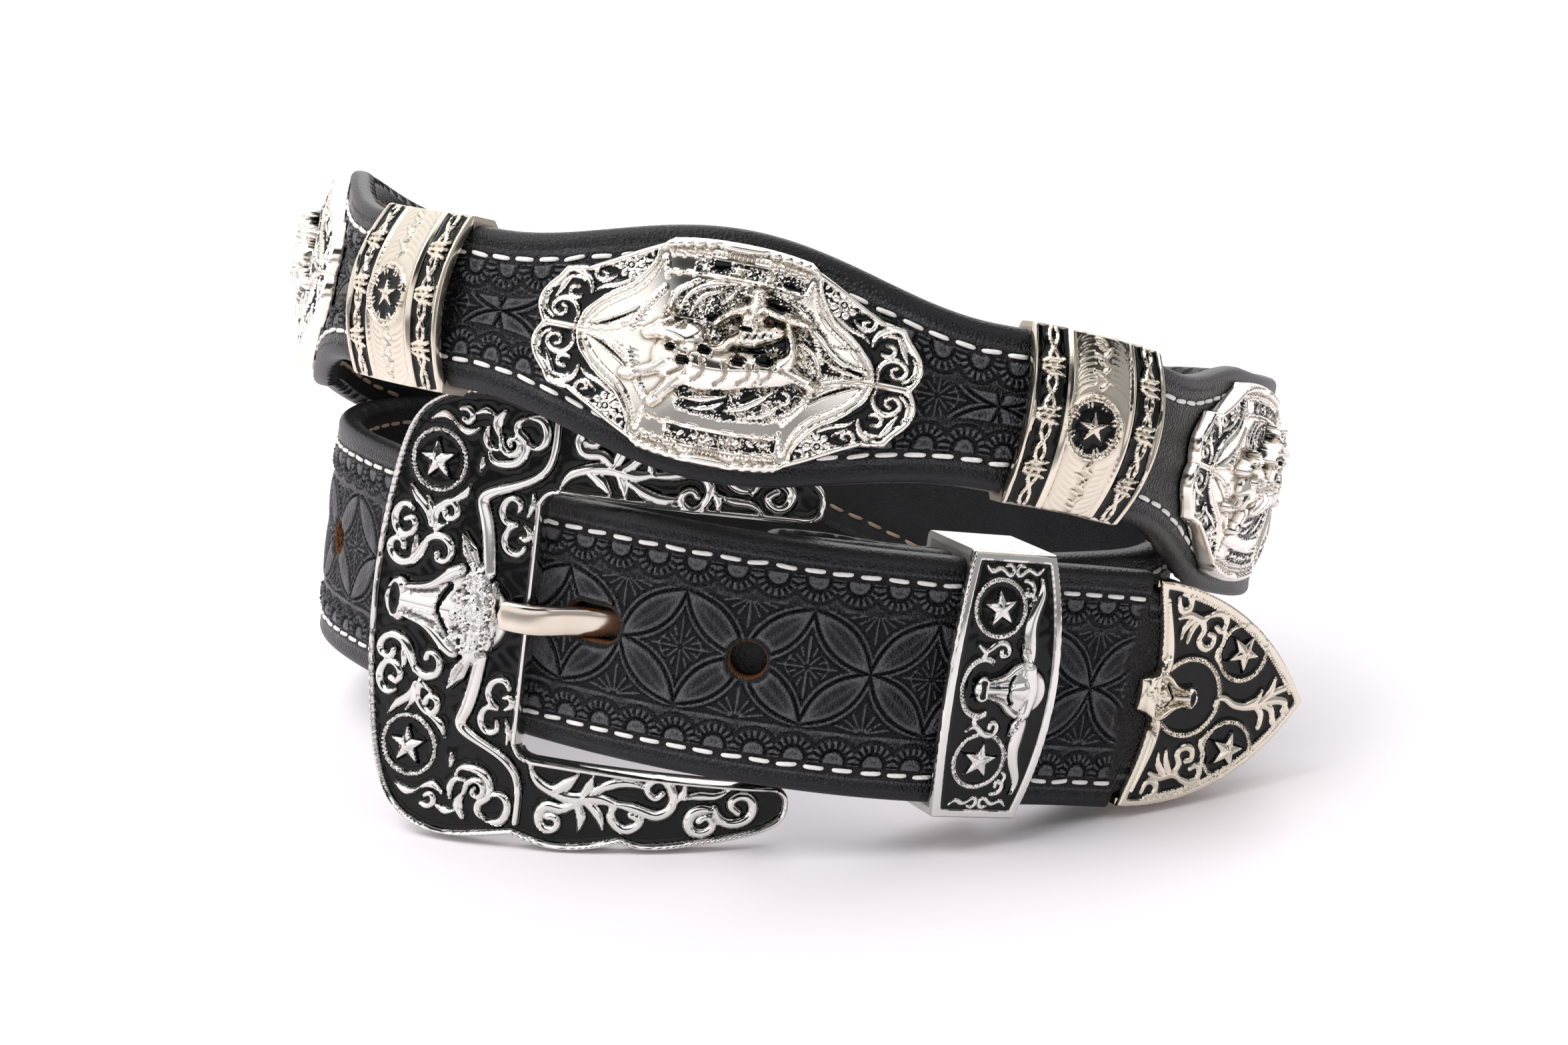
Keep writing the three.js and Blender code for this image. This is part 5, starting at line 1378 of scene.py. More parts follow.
KEEPER_CREST = [
    ([(-4.9, 18.5), (-3.8, 17.7), (-2.6, 18.2), (-1.6, 17.7)], [0.15, 0.38, 0.38, 0.3], 0.5),
    ([(-1.7, 17.8), (-0.7, 17.3), (-0.3, 18.1), (-0.9, 18.8), (-1.6, 18.6)],
     [0.3, 0.34, 0.34, 0.32, 0.25], 0.5),
]
KEEPER_HORNS = [
    ([(3.4, 2.4), (3.8, 6), (3.4, 9.4), (4.1, 12.6), (4.9, 15.2), (4.6, 17.1)],
     [0.95, 1.1, 1.15, 1.0, 0.75, 0.2], 0.95),
    ([(3.8, -2.2), (4.1, -5.6), (3.8, -9), (4.6, -12), (5.5, -14.4), (5.2, -16.4)],
     [0.95, 1.1, 1.15, 1.0, 0.75, 0.2], 0.95),
]
KEEPER_SCROLLS = [
    ([(-4.9, 6.6), (-3.6, 5.8), (-2.4, 6.6), (-1.1, 7.2), (0.1, 6.6), (0.1, 5.4), (-0.9, 5.2), (-1, 6)],
     [0.2, 0.42, 0.42, 0.42, 0.4, 0.38, 0.34, 0.3], 0.5),
    ([(-3.4, 5.8), (-3.9, 4.8), (-2.8, 4.4)], [0.3, 0.38, 0.2], 0.45),
    ([(1.9, 16.6), (3.2, 16.2), (3.3, 14.8), (2.3, 14.6), (2.4, 15.4)], [0.3, 0.42, 0.4, 0.34, 0.26], 0.5),
    ([(3.2, 14.8), (3.6, 13.6), (3, 13)], [0.3, 0.36, 0.2], 0.45),
]


def build_keeper():
    """Bowed and arched face with steer, stars and scrolls, on a rectangular loop of plate."""
    half = KEEPER_HALF_HEIGHT
    heights = np.linspace(-half, half, 41)
    wide = KEEPER_END_HALF + KEEPER_BOW * arch(heights, half)
    outline = np.vstack([np.column_stack([wide, heights]), np.column_stack([-wide, heights])[::-1]])
    distance = polygon_distance(outline)
    plate, r, inside = cast_plate(distance, (-9.7, -half - 0.1), (9.7, half + 0.1), FINE_STEP)
    flat_rim(r, inside, 1.5, 1.56, 0.5)
    for side in (1, -1):
        r.draw(KEEPER_SCROLLS, (1, side), widen=1.1, sharp=CURL_SHARP)
        r.draw(KEEPER_CREST, (1, side))
        r.draw(KEEPER_CREST, (-1, side))
    star_rings(r, 4.25, 0.5, [(-2.0, 12.3, 98), (-1.6, -11.2, 86)], strands=56)
    r.ring(-3.6, 0.2, 3.3, 4.4, 0.42, 0.45, strands=50, arc=(60, 300))
    steer_head(r, 3.8, 0.1, 0.62, -1, 1.5)
    r.draw(KEEPER_HORNS)
    values = settled(r, 0.35)

    def face(v):
        return KEEPER_FRONT + KEEPER_WALL + KEEPER_RISE * arch(v, half) - 0.5

    front = face(plate.v) + r.height - rounded_edge(inside, 0.3)
    inner = inner_grid(distance, (-9.6, -half), (9.6, half), 2.0, 0.7)
    shell = plate.solid(front, lambda u, v: face(v) - 0.7, on_keeper, inner, values)
    bottom, top = KEEPER_BACK - KEEPER_WALL, face(half) - 0.3
    right = [(half - 0.6, bottom), (half, bottom + 0.6), (half, top), (half - KEEPER_WALL, top),
             (half - KEEPER_WALL, KEEPER_BACK)]
    left = [(-v, w) for v, w in right[::-1]]
    section = left[1:] + right + left[:1]
    loop = swept(on_keeper, section, even(-KEEPER_END_HALF, KEEPER_END_HALF, 1.2))
    return join_shells(shell, brushed(loop))


# Tip

TIP_SCROLLS = [
    ([(-28.4, 15.6), (-27.2, 13.6), (-25.8, 14.6), (-26.4, 15.8)], [0.3, 0.5, 0.5, 0.4], 0.5),
    ([(-27.6, 12.4), (-25.6, 13), (-23.4, 12.4), (-21.6, 13.2)], [0.3, 0.55, 0.6, 0.3], 0.5),
    ([(-26.6, 9.2), (-26.2, 11), (-24.8, 12.6)], [0.2, 0.5, 0.5], 0.5),
    ([(-25.2, 8.6), (-24.8, 10.6), (-24, 12.2)], [0.2, 0.5, 0.5], 0.5),
    ([(-23.4, 12.4), (-22.4, 10.6), (-23, 9.2), (-22, 8), (-20.4, 8.4), (-20.2, 9.8), (-21.2, 10.2)],
     [0.5, 0.5, 0.45, 0.5, 0.5, 0.45, 0.4], 0.5),
    ([(-21.6, 13.2), (-19.4, 13.6), (-18.2, 12), (-19, 10.8), (-20, 11.4)], [0.4, 0.55, 0.5, 0.45, 0.4], 0.5),
    ([(-18.4, 11.2), (-18.2, 8.6), (-19, 7.2), (-18, 5.4)], [0.35, 0.45, 0.4, 0.2], 0.45),
]
TIP_HORN = (
    [(-30.4, 2.2), (-28.6, 3.6), (-28.2, 6.6), (-28.9, 10), (-29.9, 13.4), (-30.6, 15.6)],
    [0.9, 0.9, 0.85, 0.7, 0.45, 0.15], 0.9)
PALMETTE = [
    ([(-17.5, -1.1), (-17.2, -0.1), (-16.3, 0.2), (-14.3, -0.7), (-11.7, -1.1), (-9.3, -0.9)],
     [0.3, 0.35, 0.4, 0.45, 0.5, 0.5], 0.5),
    ([(-12, -1), (-9.6, -0.1), (-8.7, 1.6)], [0.35, 0.5, 0.2], 0.5),
    ([(-9.5, -0.8), (-7.2, 1), (-6.4, 3.7)], [0.4, 0.55, 0.2], 0.5),
    ([(-8.2, 0.2), (-6.2, 1.4), (-4.3, 2.1)], [0.3, 0.42, 0.45], 0.5),
    ([(-8.6, -0.6), (-5.4, 0.1), (-3.6, -0.5), (-3.9, -1.6)], [0.4, 0.55, 0.5, 0.4], 0.55),
    ([(-8.4, -0.8), (-6.3, -1.5), (-5.6, -3.4)], [0.35, 0.45, 0.45], 0.5),
    ([(-9.6, -1), (-8.1, -2.5), (-8.2, -4.4)], [0.35, 0.45, 0.4], 0.5),
]


def tip_half_height(arc):
    """Half height of the tip: two arcs that meet in its point."""
    back = TIP_LENGTH - np.minimum(arc, TIP_LENGTH)
    return np.sqrt(TIP_ARCH_RADIUS ** 2 - back ** 2) - (TIP_ARCH_RADIUS - TIP_HALF_HEIGHT)


def build_tip():
    """Pointed cap: a decorated front plate, a plain back plate, and the edge round the pocket."""
    arcs = np.concatenate([[0.35], np.linspace(1, TIP_LENGTH, 40)])
    side = np.column_stack([-arcs, tip_half_height(arcs)])
    base = smooth_line([(-32.4, 18.1), (-31.4, 14.5), (-30.2, 10), (-29.6, 6), (-29.8, 3.6), (-31, 2.9),
                        (-32.3, 2.4)], 5)
    half_outline = np.vstack([side, base[1:]])
    distance = polygon_distance(np.vstack([half_outline, (half_outline * [1, -1])[::-1]]))
    plate, r, inside = cast_plate(distance, (-32.6, -18.3), (-0.2, 18.3), FINE_STEP)
    flat_rim(r, inside, 1.25, 1.33, 0.45)
    slope = unit(np.gradient(side, axis=0))
    inset = side + 1.42 * np.column_stack([-slope[:, 1], slope[:, 0]])
    inset = inset[(inset[:, 1] > 0.4) & (inset[:, 0] > -30.4)]
    for turn in (1, -1):
        r.rope_line(inset[::4] * [1, turn], 0.26, 0.45, 0.5)
        r.draw(TIP_SCROLLS, (1, turn), (0, 0.1 * turn), 1.25, sharp=CURL_SHARP)
        r.draw([TIP_HORN], (1, turn))
    star_rings(r, 4.6, 0.62, [(-13.8, 7.7, 62), (-13.8, -8.3, 80)], strands=60)
    r.draw(PALMETTE, widen=1.45, sharp=CURL_SHARP)
    r.ring(-23, 0, 6.0, 6.2, 0.42, 0.5, strands=70, arc=(222, 138))
    steer_head(r, -29.6, 0, 0.56, 1, 1.5)
    curly_hair(r, -29.4, 0, 1.4, 2.6, 0.85, 1.2, 0.5)
    values = settled(r, 0.35)
    front = TIP_HALF_THICKNESS - 0.45 + r.height - rounded_edge(inside, 0.3)
    inner = inner_grid(distance, (-32, -18), (0, 18), 2.2, 0.7)
    pocket = STRAP_THICKNESS / 2 + 0.15
    place = along_strap(0)
    cover = plate.solid(front, pocket, place, inner, values)
    plain = Plate(even(-32.6, -0.2, 0.8), even(-18.3, 18.3, 0.8), distance)
    under = plain.solid(np.full_like(plain.u, -pocket), -TIP_HALF_THICKNESS, place, inner, {})
    outer = np.vstack([side[::-1], side[1:] * [1, -1]])
    inner_side = np.column_stack([-np.maximum(arcs, 2.2), np.maximum(side[:, 1] - TIP_WALL, 0.15)])
    ring_inner = np.vstack([inner_side[::-1], inner_side[1:] * [1, -1]])
    rings = np.stack([place(*a.T, w) for a, w in (
        (outer, pocket), (outer, -pocket), (ring_inner, -pocket), (ring_inner, pocket))], axis=1)
    return join_shells(cover, under, outward(tube(rings)))


# Conchos

CONCHO_BASE = 1.5
CONCHO_DOME = 2.7
CONCHO_SINK = -0.45
PANEL_BOW = 0.0108
FLOWER = (14.8, 10.2)
CONCHO_SIDE = [
    (0, 16.1), (3, 16.0), (6.5, 15.7), (9.6, 15.2), (10.6, 14.3), (14, 12.6), (18, 10.4), (20.6, 9.1),
    (22.2, 8.9), (24.1, 8.5), (25, 7.2), (26.2, 5.9), (27.2, 4.5), (27.6, 3), (27.3, 1.4), (26.5, 0),
]
CONCHO_GROUND = [
    (11.3, 13.4), (13.6, 12.4), (16.2, 11.1), (18.9, 9.8), (20.6, 8.8), (22, 8.2), (23.7, 7.8), (24.4, 6.3),
    (26.1, 5), (27, 3.6), (27.1, 2.1), (26.5, 0.9), (25.6, 0.4), (21.2, 0.4),
]
CONCHO_FIELD_SIDE = [
    (20.6, 0.4), (20.1, 2.2), (18.3, 4.4), (16.2, 6.1), (13.9, 7.6), (12.3, 9.7), (11.3, 11.8),
]
CONCHO_SCROLLS = [
    ([(19.7, 5.2), (20, 6.5), (20.9, 7.6), (22.6, 8.1)], [0.15, 0.34, 0.4, 0.3], 0.7),
    ([(21, 6.9), (22.2, 7.2), (23.4, 7)], [0.15, 0.3, 0.2], 0.6),
    ([(23.3, 7), (24.2, 5.5), (25.1, 3.8)], [0.25, 0.36, 0.15], 0.6),
    ([(21.8, 5.8), (22.8, 5.6), (23, 4.8), (22.2, 4.2), (21.3, 4.4)], [0.2, 0.28, 0.28, 0.28, 0.2], 0.6),
    ([(21.4, 0.8), (21.2, 1.9), (21.7, 3.1), (23, 3.9), (24.4, 3.6), (25.2, 2.5), (24.5, 1.5), (23.4, 1.6),
      (23.1, 2.4), (23.8, 2.8)], [0.2, 0.26, 0.3, 0.32, 0.32, 0.3, 0.28, 0.26, 0.24, 0.24], 0.65),
    ([(25, 1), (26.2, 2), (26.4, 3.4), (25.8, 4.6)], [0.2, 0.28, 0.26, 0.12], 0.55),
    ([(16.9, 9.6), (18.4, 9.8), (19.5, 8.9), (19.5, 7.9), (18.6, 7.4), (17.9, 8.1), (18.6, 8.6)],
     [0.15, 0.27, 0.28, 0.28, 0.26, 0.24, 0.2], 0.55),
    ([(13.2, 8.9), (14.8, 7.8), (16.6, 6.9), (18.4, 6.3), (19.2, 5.6)], [0.1, 0.26, 0.3, 0.26, 0.1], 0.5),
    ([(16.6, 8.3), (17.4, 7.6), (18.4, 7)], [0.12, 0.24, 0.1], 0.45),
    ([(12.1, 11.3), (12.9, 11.3), (13.1, 12.2), (12.4, 12.6), (12, 12.1)], [0.2, 0.25, 0.25, 0.24, 0.2], 0.5),
    ([(12.5, 10.6), (12.8, 9.9), (13.2, 9.4)], [0.12, 0.26, 0.1], 0.45),
]
# Outline of the middle's speckled dark ground: partly engraved stipple, partly painted dark reflection of the
# polished field
DARK_FIELD = [
    (-8.8, 4.2), (-8.2, 7.4), (-5.6, 9.6), (0, 10.4), (5.4, 10.2), (9.4, 8.9), (12.2, 6.3), (14.6, 3.2),
    (18.6, 1.4), (19.4, 0.6), (13.4, -0.4), (13, -3.2), (11.2, -6), (7.6, -8.2), (1, -9.1), (-5, -8.4),
    (-6, -5),
]
FEATHERS = [
    ([(-8.2, 4.6), (-7.6, 7.4), (-4.8, 9.6)], [0.15, 0.42, 0.15], 0.35),
    ([(-6.9, 4.4), (-6, 7.4), (-2.8, 9.6), (0, 10.1)], [0.15, 0.36, 0.42, 0.15], 0.35),
    ([(-5.4, 4.6), (-4.2, 7.4), (-1.2, 9)], [0.15, 0.42, 0.15], 0.35),
    ([(-1.4, 7), (-0.2, 8.4), (0.4, 9.8)], [0.15, 0.34, 0.12], 0.35),
    ([(6, 9.5), (8.8, 8.5), (11.4, 6.2)], [0.15, 0.42, 0.15], 0.35),
    ([(7.4, 7.4), (10.2, 6.4), (12.8, 4.4), (15.9, 2.1), (19.6, 1.6)], [0.2, 0.45, 0.5, 0.45, 0.2], 0.4),
    ([(8.9, 3.6), (10.9, 3.1), (12.8, 1), (13.2, -1)], [0.2, 0.35, 0.42, 0.15], 0.35),
    ([(9.8, 2.3), (11.2, 1.4)], [0.34, 0.15], 0.3),
    ([(9.9, 1.1), (11, 0.3)], [0.3, 0.15], 0.3),
    ([(13.6, -1.4), (16, -0.6), (19.4, -0.3)], [0.15, 0.36, 0.2], 0.35),
    ([(-5, -7), (-1.6, -6.6), (1.4, -5.6)], [0.15, 0.48, 0.15], 0.35),
    ([(-3.4, -8.2), (-0.4, -7.6), (1.2, -6.6)], [0.15, 0.36, 0.15], 0.35),
    ([(1.4, -7.8), (4.2, -6.6), (6.4, -4.8), (7.4, -3.8)], [0.15, 0.48, 0.42, 0.15], 0.35),
    ([(3.6, -8.3), (6.6, -7.4), (8.8, -5.4)], [0.15, 0.42, 0.15], 0.35),
    ([(8.8, -3.6), (9.7, -4.2), (9.2, -5.2), (8.4, -4.8)], [0.25, 0.32, 0.32, 0.2], 0.35),
]
BULL = [
    ([(-6.2, -1.5), (-3.6, -2), (0, -2.1), (4, -1.4), (7.6, -0.9)], [2.9, 3.0, 2.6, 2.3, 2.0], 2.0),
    ([(-5, 1.2), (-7, 1.9), (-8.8, 2)], [2.2, 1.6, 1.2], 2.4),
    ([(-8.8, 1.9), (-10.5, 1.2)], [1.15, 0.8], 2.2),
    ([(-8.3, 3), (-7.3, 4.2), (-8.5, 4.9)], [0.5, 0.45, 0.15], 2.5),
    ([(-6.6, 3), (-5.4, 3.8)], [0.55, 0.2], 2.5),
    ([(-6.8, -1.6), (-8.9, -3.6), (-12, -4.9)], [1.3, 0.75, 0.62], 1.8),
    ([(-12, -4.9), (-12.8, -5)], [0.85, 0.75], 1.7),
    ([(-4.8, -3.6), (-6.5, -5.6), (-7.9, -7.7)], [1.5, 0.85, 0.68], 1.9),
    ([(-7.9, -7.6), (-8.4, -8.3)], [0.9, 0.75], 1.8),
    ([(7.6, -0.6), (8.9, 1.6), (8.3, 4.4), (7.2, 7.2)], [1.5, 0.75, 0.6, 0.45], 2.1),
    ([(8, -0.8), (10, -1.3), (11.9, -1.9)], [1.7, 1.0, 0.72], 1.9),
    ([(11.8, -1.8), (12.5, -2.3)], [0.85, 0.7], 1.8),
]
RIDER = [
    ([(0.8, 2.2), (3.6, 3.3), (6.4, 4.4)], [0.85, 1.5, 1.1], 2.9),
    ([(0.6, 2), (-0.4, 0.9), (-1.8, 0.8)], [0.8, 0.7, 0.5], 2.8),
    ([(3.1, 4), (3.2, 6.2), (3.4, 7.6)], [1.5, 1.6, 1.3], 3.2),
    ([(4, 7.4), (6, 6.8), (8.6, 6.4), (10.4, 6)], [0.8, 0.7, 0.62, 0.68], 2.9),
    ([(2.4, 7.2), (0.2, 5.9), (-1.6, 4.1)], [0.8, 0.66, 0.55], 3.0),
]
# Edges of the bright-cut fans
LEAF_EDGES = [
    ([(20.2, 0.3), (17.6, 0.7), (14.6, 1.4), (13.2, 2.2)], [0.2, 0.3, 0.3, 0.15], 0.3),
    ([(19.5, 1.3), (17.6, 3.6), (15.4, 5.3), (13.1, 6.9), (11.4, 9.1), (10.5, 11.9)], 0.22, 0.32),
]
# Folds of the bull's hide and of the rider's clothes; their dark fill is painted shade that models the figure
FOLDS = [
    [(-3.4, -4.2), (-2.2, -2.8), (-2.6, -1)], [(-0.4, -4.3), (0.8, -2.8), (0.4, -1)],
    [(2.6, -3.6), (3.8, -2.4), (3.6, -0.8)], [(5.6, -2.8), (6.6, -1.4), (6.2, 0.2)],
    [(-6.4, -3.8), (-4.8, -2.6), (-4.2, -0.8)], [(-7.6, 0.9), (-6.2, 0.4), (-5, 0.8)],
    [(-7.4, -2.4), (-9, -3.8), (-11, -4.6)], [(-5.2, -4.4), (-6.6, -6), (-7.6, -7.4)],
    [(7.8, -0.6), (9.6, -1.2), (11.4, -1.8)], [(2.4, 5.2), (3.4, 5.4), (4.2, 5)],
    [(2.2, 3), (4, 3.4), (5.6, 4)], [(2.6, 6.6), (3.6, 6.2), (4.4, 6.6)],
]
# Pits of the figure, filled black as painted shade. Columns: u, v, half length, radius
PITS = [(-5, -1.7, 0.5, 0.42), (-2.3, 0.3, 0.3, 0.5), (2.2, -0.6, 0.4, 0.38), (5.6, 0.2, 0.5, 0.55),
        (-6.8, -0.2, 0.2, 0.34), (2.6, 4.2, 0.5, 0.3)]


def concho_dome(u, v):
    """Height of the dome: the square of a cosine along the concho times a cosine up it."""
    return CONCHO_DOME * np.cos(np.pi * u / 58) ** 2 * np.cos(np.pi * v / 38)


def carve_concho(r, u, v, inside):
    """Rims, enamel grounds with scrolls and flowers, and an engraved middle whose speckled dark ground is
    partly engraved stipple and partly painted dark reflection.
    """
    # Dark speckle in waving patches over the middle: partly an engraved stipple ground, partly painted dark
    # reflection of the polished field
    speckle = (np.sin(u * 127.1 + v * 311.7) * 43758.5) % 1
    stipple_and_reflection_patches = 0.6 + 0.5 * np.sin(0.9 * u + 1.2 * np.sin(0.7 * v)) * np.sin(0.9 * v + 0.5 * u + 1)
    dark = r.inside_share(DARK_FIELD, 0.5)
    for dv in (1, -1):
        top = dv * v
        bend = PANEL_BOW * u ** 2
        dark = np.maximum(dark, (top > 10.8 - bend) & (top < 13.2 - bend) & (u > -6) & (u < 9.2))
    r.metal -= r.metal * ((speckle < stipple_and_reflection_patches * dark) | (dark * stipple_and_reflection_patches > 0.92))
    r.height -= 0.1 * dark
    for du in (1, -1):
        for dv in (1, -1):
            flip = np.array([du, dv])
            r.ground(np.array(CONCHO_GROUND + CONCHO_FIELD_SIDE) * flip, CONCHO_SINK)
            r.draw(CONCHO_SCROLLS, flip, widen=1.25, base=CONCHO_SINK, sharp=0.2)
            flower_u, flower_v = FLOWER * flip
            for k in range(8):
                turn = math.radians(45 * k + 15)
                r.blob(flower_u + 1.5 * math.cos(turn), flower_v + 1.5 * math.sin(turn),
                       0.62, 0.56, 0.7, CONCHO_SINK, turn)
            r.ring(flower_u, flower_v, 0.72, 0.72, 0.2, 0.5, CONCHO_SINK)
            r.blob(flower_u, flower_v, 0.3, 0.3, 0.55, CONCHO_SINK)
            r.stroke(np.array(CONCHO_FIELD_SIDE + [(11.2, 13.5)]) * flip, 0.32, 0.4)
            r.stroke(np.array(CONCHO_GROUND[:13]) * flip, 0.3, 0.25, -0.2)
            engrave_leaves(r, flip)
    round_rim(r, inside, 0.42, 0.42)
    r.draw(FEATHERS)
    r.rope_line([(12.4, -2.6), (11.4, -5), (8.8, -7.4)], 0.36, 0.35, 0.6)
    for dv in (1, -1):
        edge = np.array([(-9.4, 14.3), (-5, 14.9), (0, 15.1), (5, 14.9), (9.4, 14.3)]) * [1, dv]
        r.blob(0, 15.3 * dv, 3.3, 0.78, 0.9)
        for k in (4.4, 6.0, 7.5, 8.8, 10.0):
            for du in (1, -1):
                r.blob(du * k, (15.35 - 0.011 * k * k) * dv, 0.84, 0.62, 0.85, turn=-0.16 * du * dv)
        r.bead_line(edge * [1, 0.935], 0.26, 0.36, 0.6)
        for inset, radius in ((0.895, 0.22), (0.72, 0.26)):
            r.stroke(edge * [0.97, inset], radius, 0.35)
        for du in (1, -1):
            r.stroke([(9.3 * du, 9.6 * dv), (10.1 * du, 12.3 * dv)], 0.25, 0.3)
            r.stroke([(21.2 * du, 0.28 * dv), (23.5 * du, 0.3 * dv), (26.4 * du, 0.3 * dv)], 0.2, 0.35)
    for k in (-1, 0, 1):
        r.star(4.3 * k - 0.1, 11.8 + 0.3 * (k == 0), 1.1, 0.5)
    for k in range(-3, 5):
        r.blob(1.9 * k, -12.1 + PANEL_BOW * (1.9 * k) ** 2, 0.62, 0.34, 0.4, turn=0.7 * (-1) ** k)


def engrave_leaves(r, flip):
    """Bright-cut fans: fine lines that spread from the pinch at each side to the middle panel."""
    for k in range(7):
        share = k / 6
        points = [(19.6 - 0.6 * k, 0.5 + 0.24 * k), (15.5 - 0.5 * k, 1.2 + 3.2 * share),
                  (11.5 - 0.2 * k, 1.8 + 5.0 * share)]
        r.engrave(np.array(points) * flip, 0.18, 0.24, 0.35)
    r.draw(LEAF_EDGES, flip)
    r.rope_line(np.array([(13, 1.6), (12, 4.2), (10.6, 6.2), (9.4, 7.8)]) * flip, 0.3, 0.3, 0.6)


def build_concho(centre_arc, step):
    """Domed oval casting on the strap, with its relief on the dome and a plain wall round it."""
    right = np.vstack([smooth_line(CONCHO_SIDE[:4], 4), smooth_line(CONCHO_SIDE[4:8], 4),
                       smooth_line(CONCHO_SIDE[8:10], 4), smooth_line(CONCHO_SIDE[10:], 5)])
    distance = polygon_distance(both_halves(right))
    plate, r, inside = cast_plate(distance, (-28, -16.4), (28, 16.4), step, 1.0)
    carve_concho(r, plate.u, plate.v, inside)
    r.draw(BULL + RIDER, widen=1.15, base=0.1, sharp=0.3)
    r.blob(3.4, 8.3, 1.2, 1.25, 3.1, 0.1)
    # Engraved folds with a dark fill: painted shade to model the figure
    for points in FOLDS:
        r.engrave(points, 0.34, 0.6, 0.45)
    r.blob(3.3, 9.0, 2.1, 0.5, 3.0, 0.2, turn=0.12)
    r.blob(3.3, 9.5, 1.1, 0.75, 3.2, 0.2)
    for u, v, half, radius in PITS:
        r.ring(u, v, radius + half + 0.25, radius + 0.3, 0.26, 2.5)
        # The pits are filled black: painted shade
        r.engrave([(u - half, v), (u + half, v)], radius, 0.9, 0.95)
    for k in range(5):
        r.engrave([(1.4 + 1.1 * k, 2 + 0.42 * k), (2 + 1.1 * k, 3.6 + 0.42 * k)], 0.16, 0.35, 0.5)
    r.engrave([(4.6, -0.8), (5.2, -2.2), (4.6, -3.4)], 0.2, 0.35)
    values = settled(r, 0.4)
    base = STRAP_THICKNESS / 2 + GAP
    front = CONCHO_BASE + concho_dome(plate.u, plate.v) + r.height - 0.6 * rounded_edge(inside, 0.4)
    inner = inner_grid(distance, (-28, -16), (28, 16), 3, 1.0)
    return plate.solid(front, 0.0, along_strap(centre_arc, base), inner, values)


# Bands

def band_front(v):
    """Height of the band's arched face."""
    return BAND_FRONT + BAND_RISE * arch(v, BAND_HALF_HEIGHT)


def build_band(centre_arc):
    """Arched face with wire channels and a star medallion, on a loop that holds the strap."""
    half_u, half_v = BAND_LENGTH / 2, BAND_HALF_HEIGHT
    plate = Plate(even(-half_u, half_u, BAND_STEP), even(-half_v, half_v, BAND_STEP))
    u, v = plate.u, plate.v
    r = Relief(u, v, metal=1.0)
    for side in (1, -1):
        left, right = sorted((side * 5.1, side * 9.95))
        bow = 0.5 * np.cos(np.pi * v / 9)
        from_sides = np.minimum(u - left - bow * (side < 0), right - bow * (side > 0) - u)
        channel = np.clip(from_sides / 0.22, 0, 1)
        r.height -= CHANNEL_DEPTH * channel
        r.metal -= channel * r.metal
        middle = side * 7.5
        for phase in (0, 1):
            wire_v = np.linspace(-13, 13, 27)
            wire_u = middle + 0.62 * np.sin(np.pi * (wire_v / WIRE_TWIST + phase))
            r.stroke(np.column_stack([wire_u, wire_v]), 0.34, 0.75, -CHANNEL_DEPTH)
        for barb in (7.4, 0.4, -7.6):
            for offset, lean in ((0.95, 0.35), (0.05, 0.1), (-0.85, -0.3)):
                r.stroke([(middle - 1.5, barb + offset - lean), (middle - 0.6, barb + offset),
                          (middle + 0.6, barb + offset), (middle + 1.5, barb + offset + lean)],
                         [0.3, 0.44, 0.44, 0.3], 0.95, -CHANNEL_DEPTH)
        for edge_u in (4.6, 10.2):
            r.stroke([(side * edge_u, -half_v), (side * edge_u, 0), (side * edge_u, half_v)], 0.36, 0.3)
        for k in range(9):
            reach = 4.8 + 0.9 * k
            for up in (1, -1):
                r.engrave([(side * 4.1, up * (reach - 1.2)), (side * 3.2, up * (reach + 0.5)),
                           (side * 1.4, up * (reach + 1.4))], [0.1, 0.26, 0.1], 0.2, 0.3)
    for up in (1, -1):
        for k in range(9):
            r.blob(0.6 * math.sin(2.3 * k), up * (6.0 + 0.8 * k), 1.0, 0.34, 0.4,
                   turn=0.9 * math.cos(2.1 * k))
    angle = np.linspace(0, 2 * np.pi, 33)[:-1]
    spot = (-0.7, -0.3)
    r.ground(np.column_stack([4.0 * np.cos(angle), 4.6 * np.sin(angle)]) + spot, MEDALLION_SINK)
    r.ring(*spot, 4.1, 4.7, 0.24, 0.4)
    r.ring(*spot, 3.6, 4.15, 0.3, 0.5, -0.3, beads=44)
    for k in range(16):
        turn = math.radians(45 * (k // 2) + 16 + 11 * (k % 2))
        ray_way = np.array([math.cos(turn), 1.15 * math.sin(turn)])
        r.stroke([ray_way * 3.4 + spot, ray_way * 2.75 + spot], [0.22, 0.14], 0.45, MEDALLION_SINK)
    r.star(*spot, 2.75, 0.8, MEDALLION_SINK, turn=95, inner=0.3)
    values = settled(r, 0.3)
    border = np.minimum(half_u - np.abs(u), half_v - np.abs(v))
    front = band_front(v) + r.height - rounded_edge(border, 0.35)
    inner = np.stack(np.meshgrid(np.linspace(-9, 9, 7), np.linspace(-12, 12, 17)), axis=-1).reshape(-1, 2)
    place = along_strap(centre_arc)
    ceiling = STRAP_THICKNESS / 2 + 0.2
    cover = plate.solid(front, lambda u, v: np.maximum(band_front(v) - 1.3, ceiling), place, inner, values)
    wall, floor = 0.85, BAND_BACK
    outer = [(half_v - 1.1, floor), (half_v, floor + 1.1), (half_v, ceiling)]
    within = [(half_v - wall, ceiling), (half_v - wall, floor + 1.5), (half_v - 1.5, floor + wall)]
    left = [(-v, w) for v, w in (outer + within)[::-1]]
    loop = swept(place, left[2:] + outer + within + left[:2], even(-half_u, half_u, 0.9))
    return join_shells(cover, brushed(loop))


# Operators

def finish_piece(name, shell, key, slot, *nodes):
    """Makes the object of a shell, which stands for CAD nodes and takes the finish of its key; the slot is
    not used.
    """
    points, faces, values = shell
    obj = make_mesh(name, points, faces, material_of(key), values)
    if nodes:
        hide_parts(*nodes)
    return obj


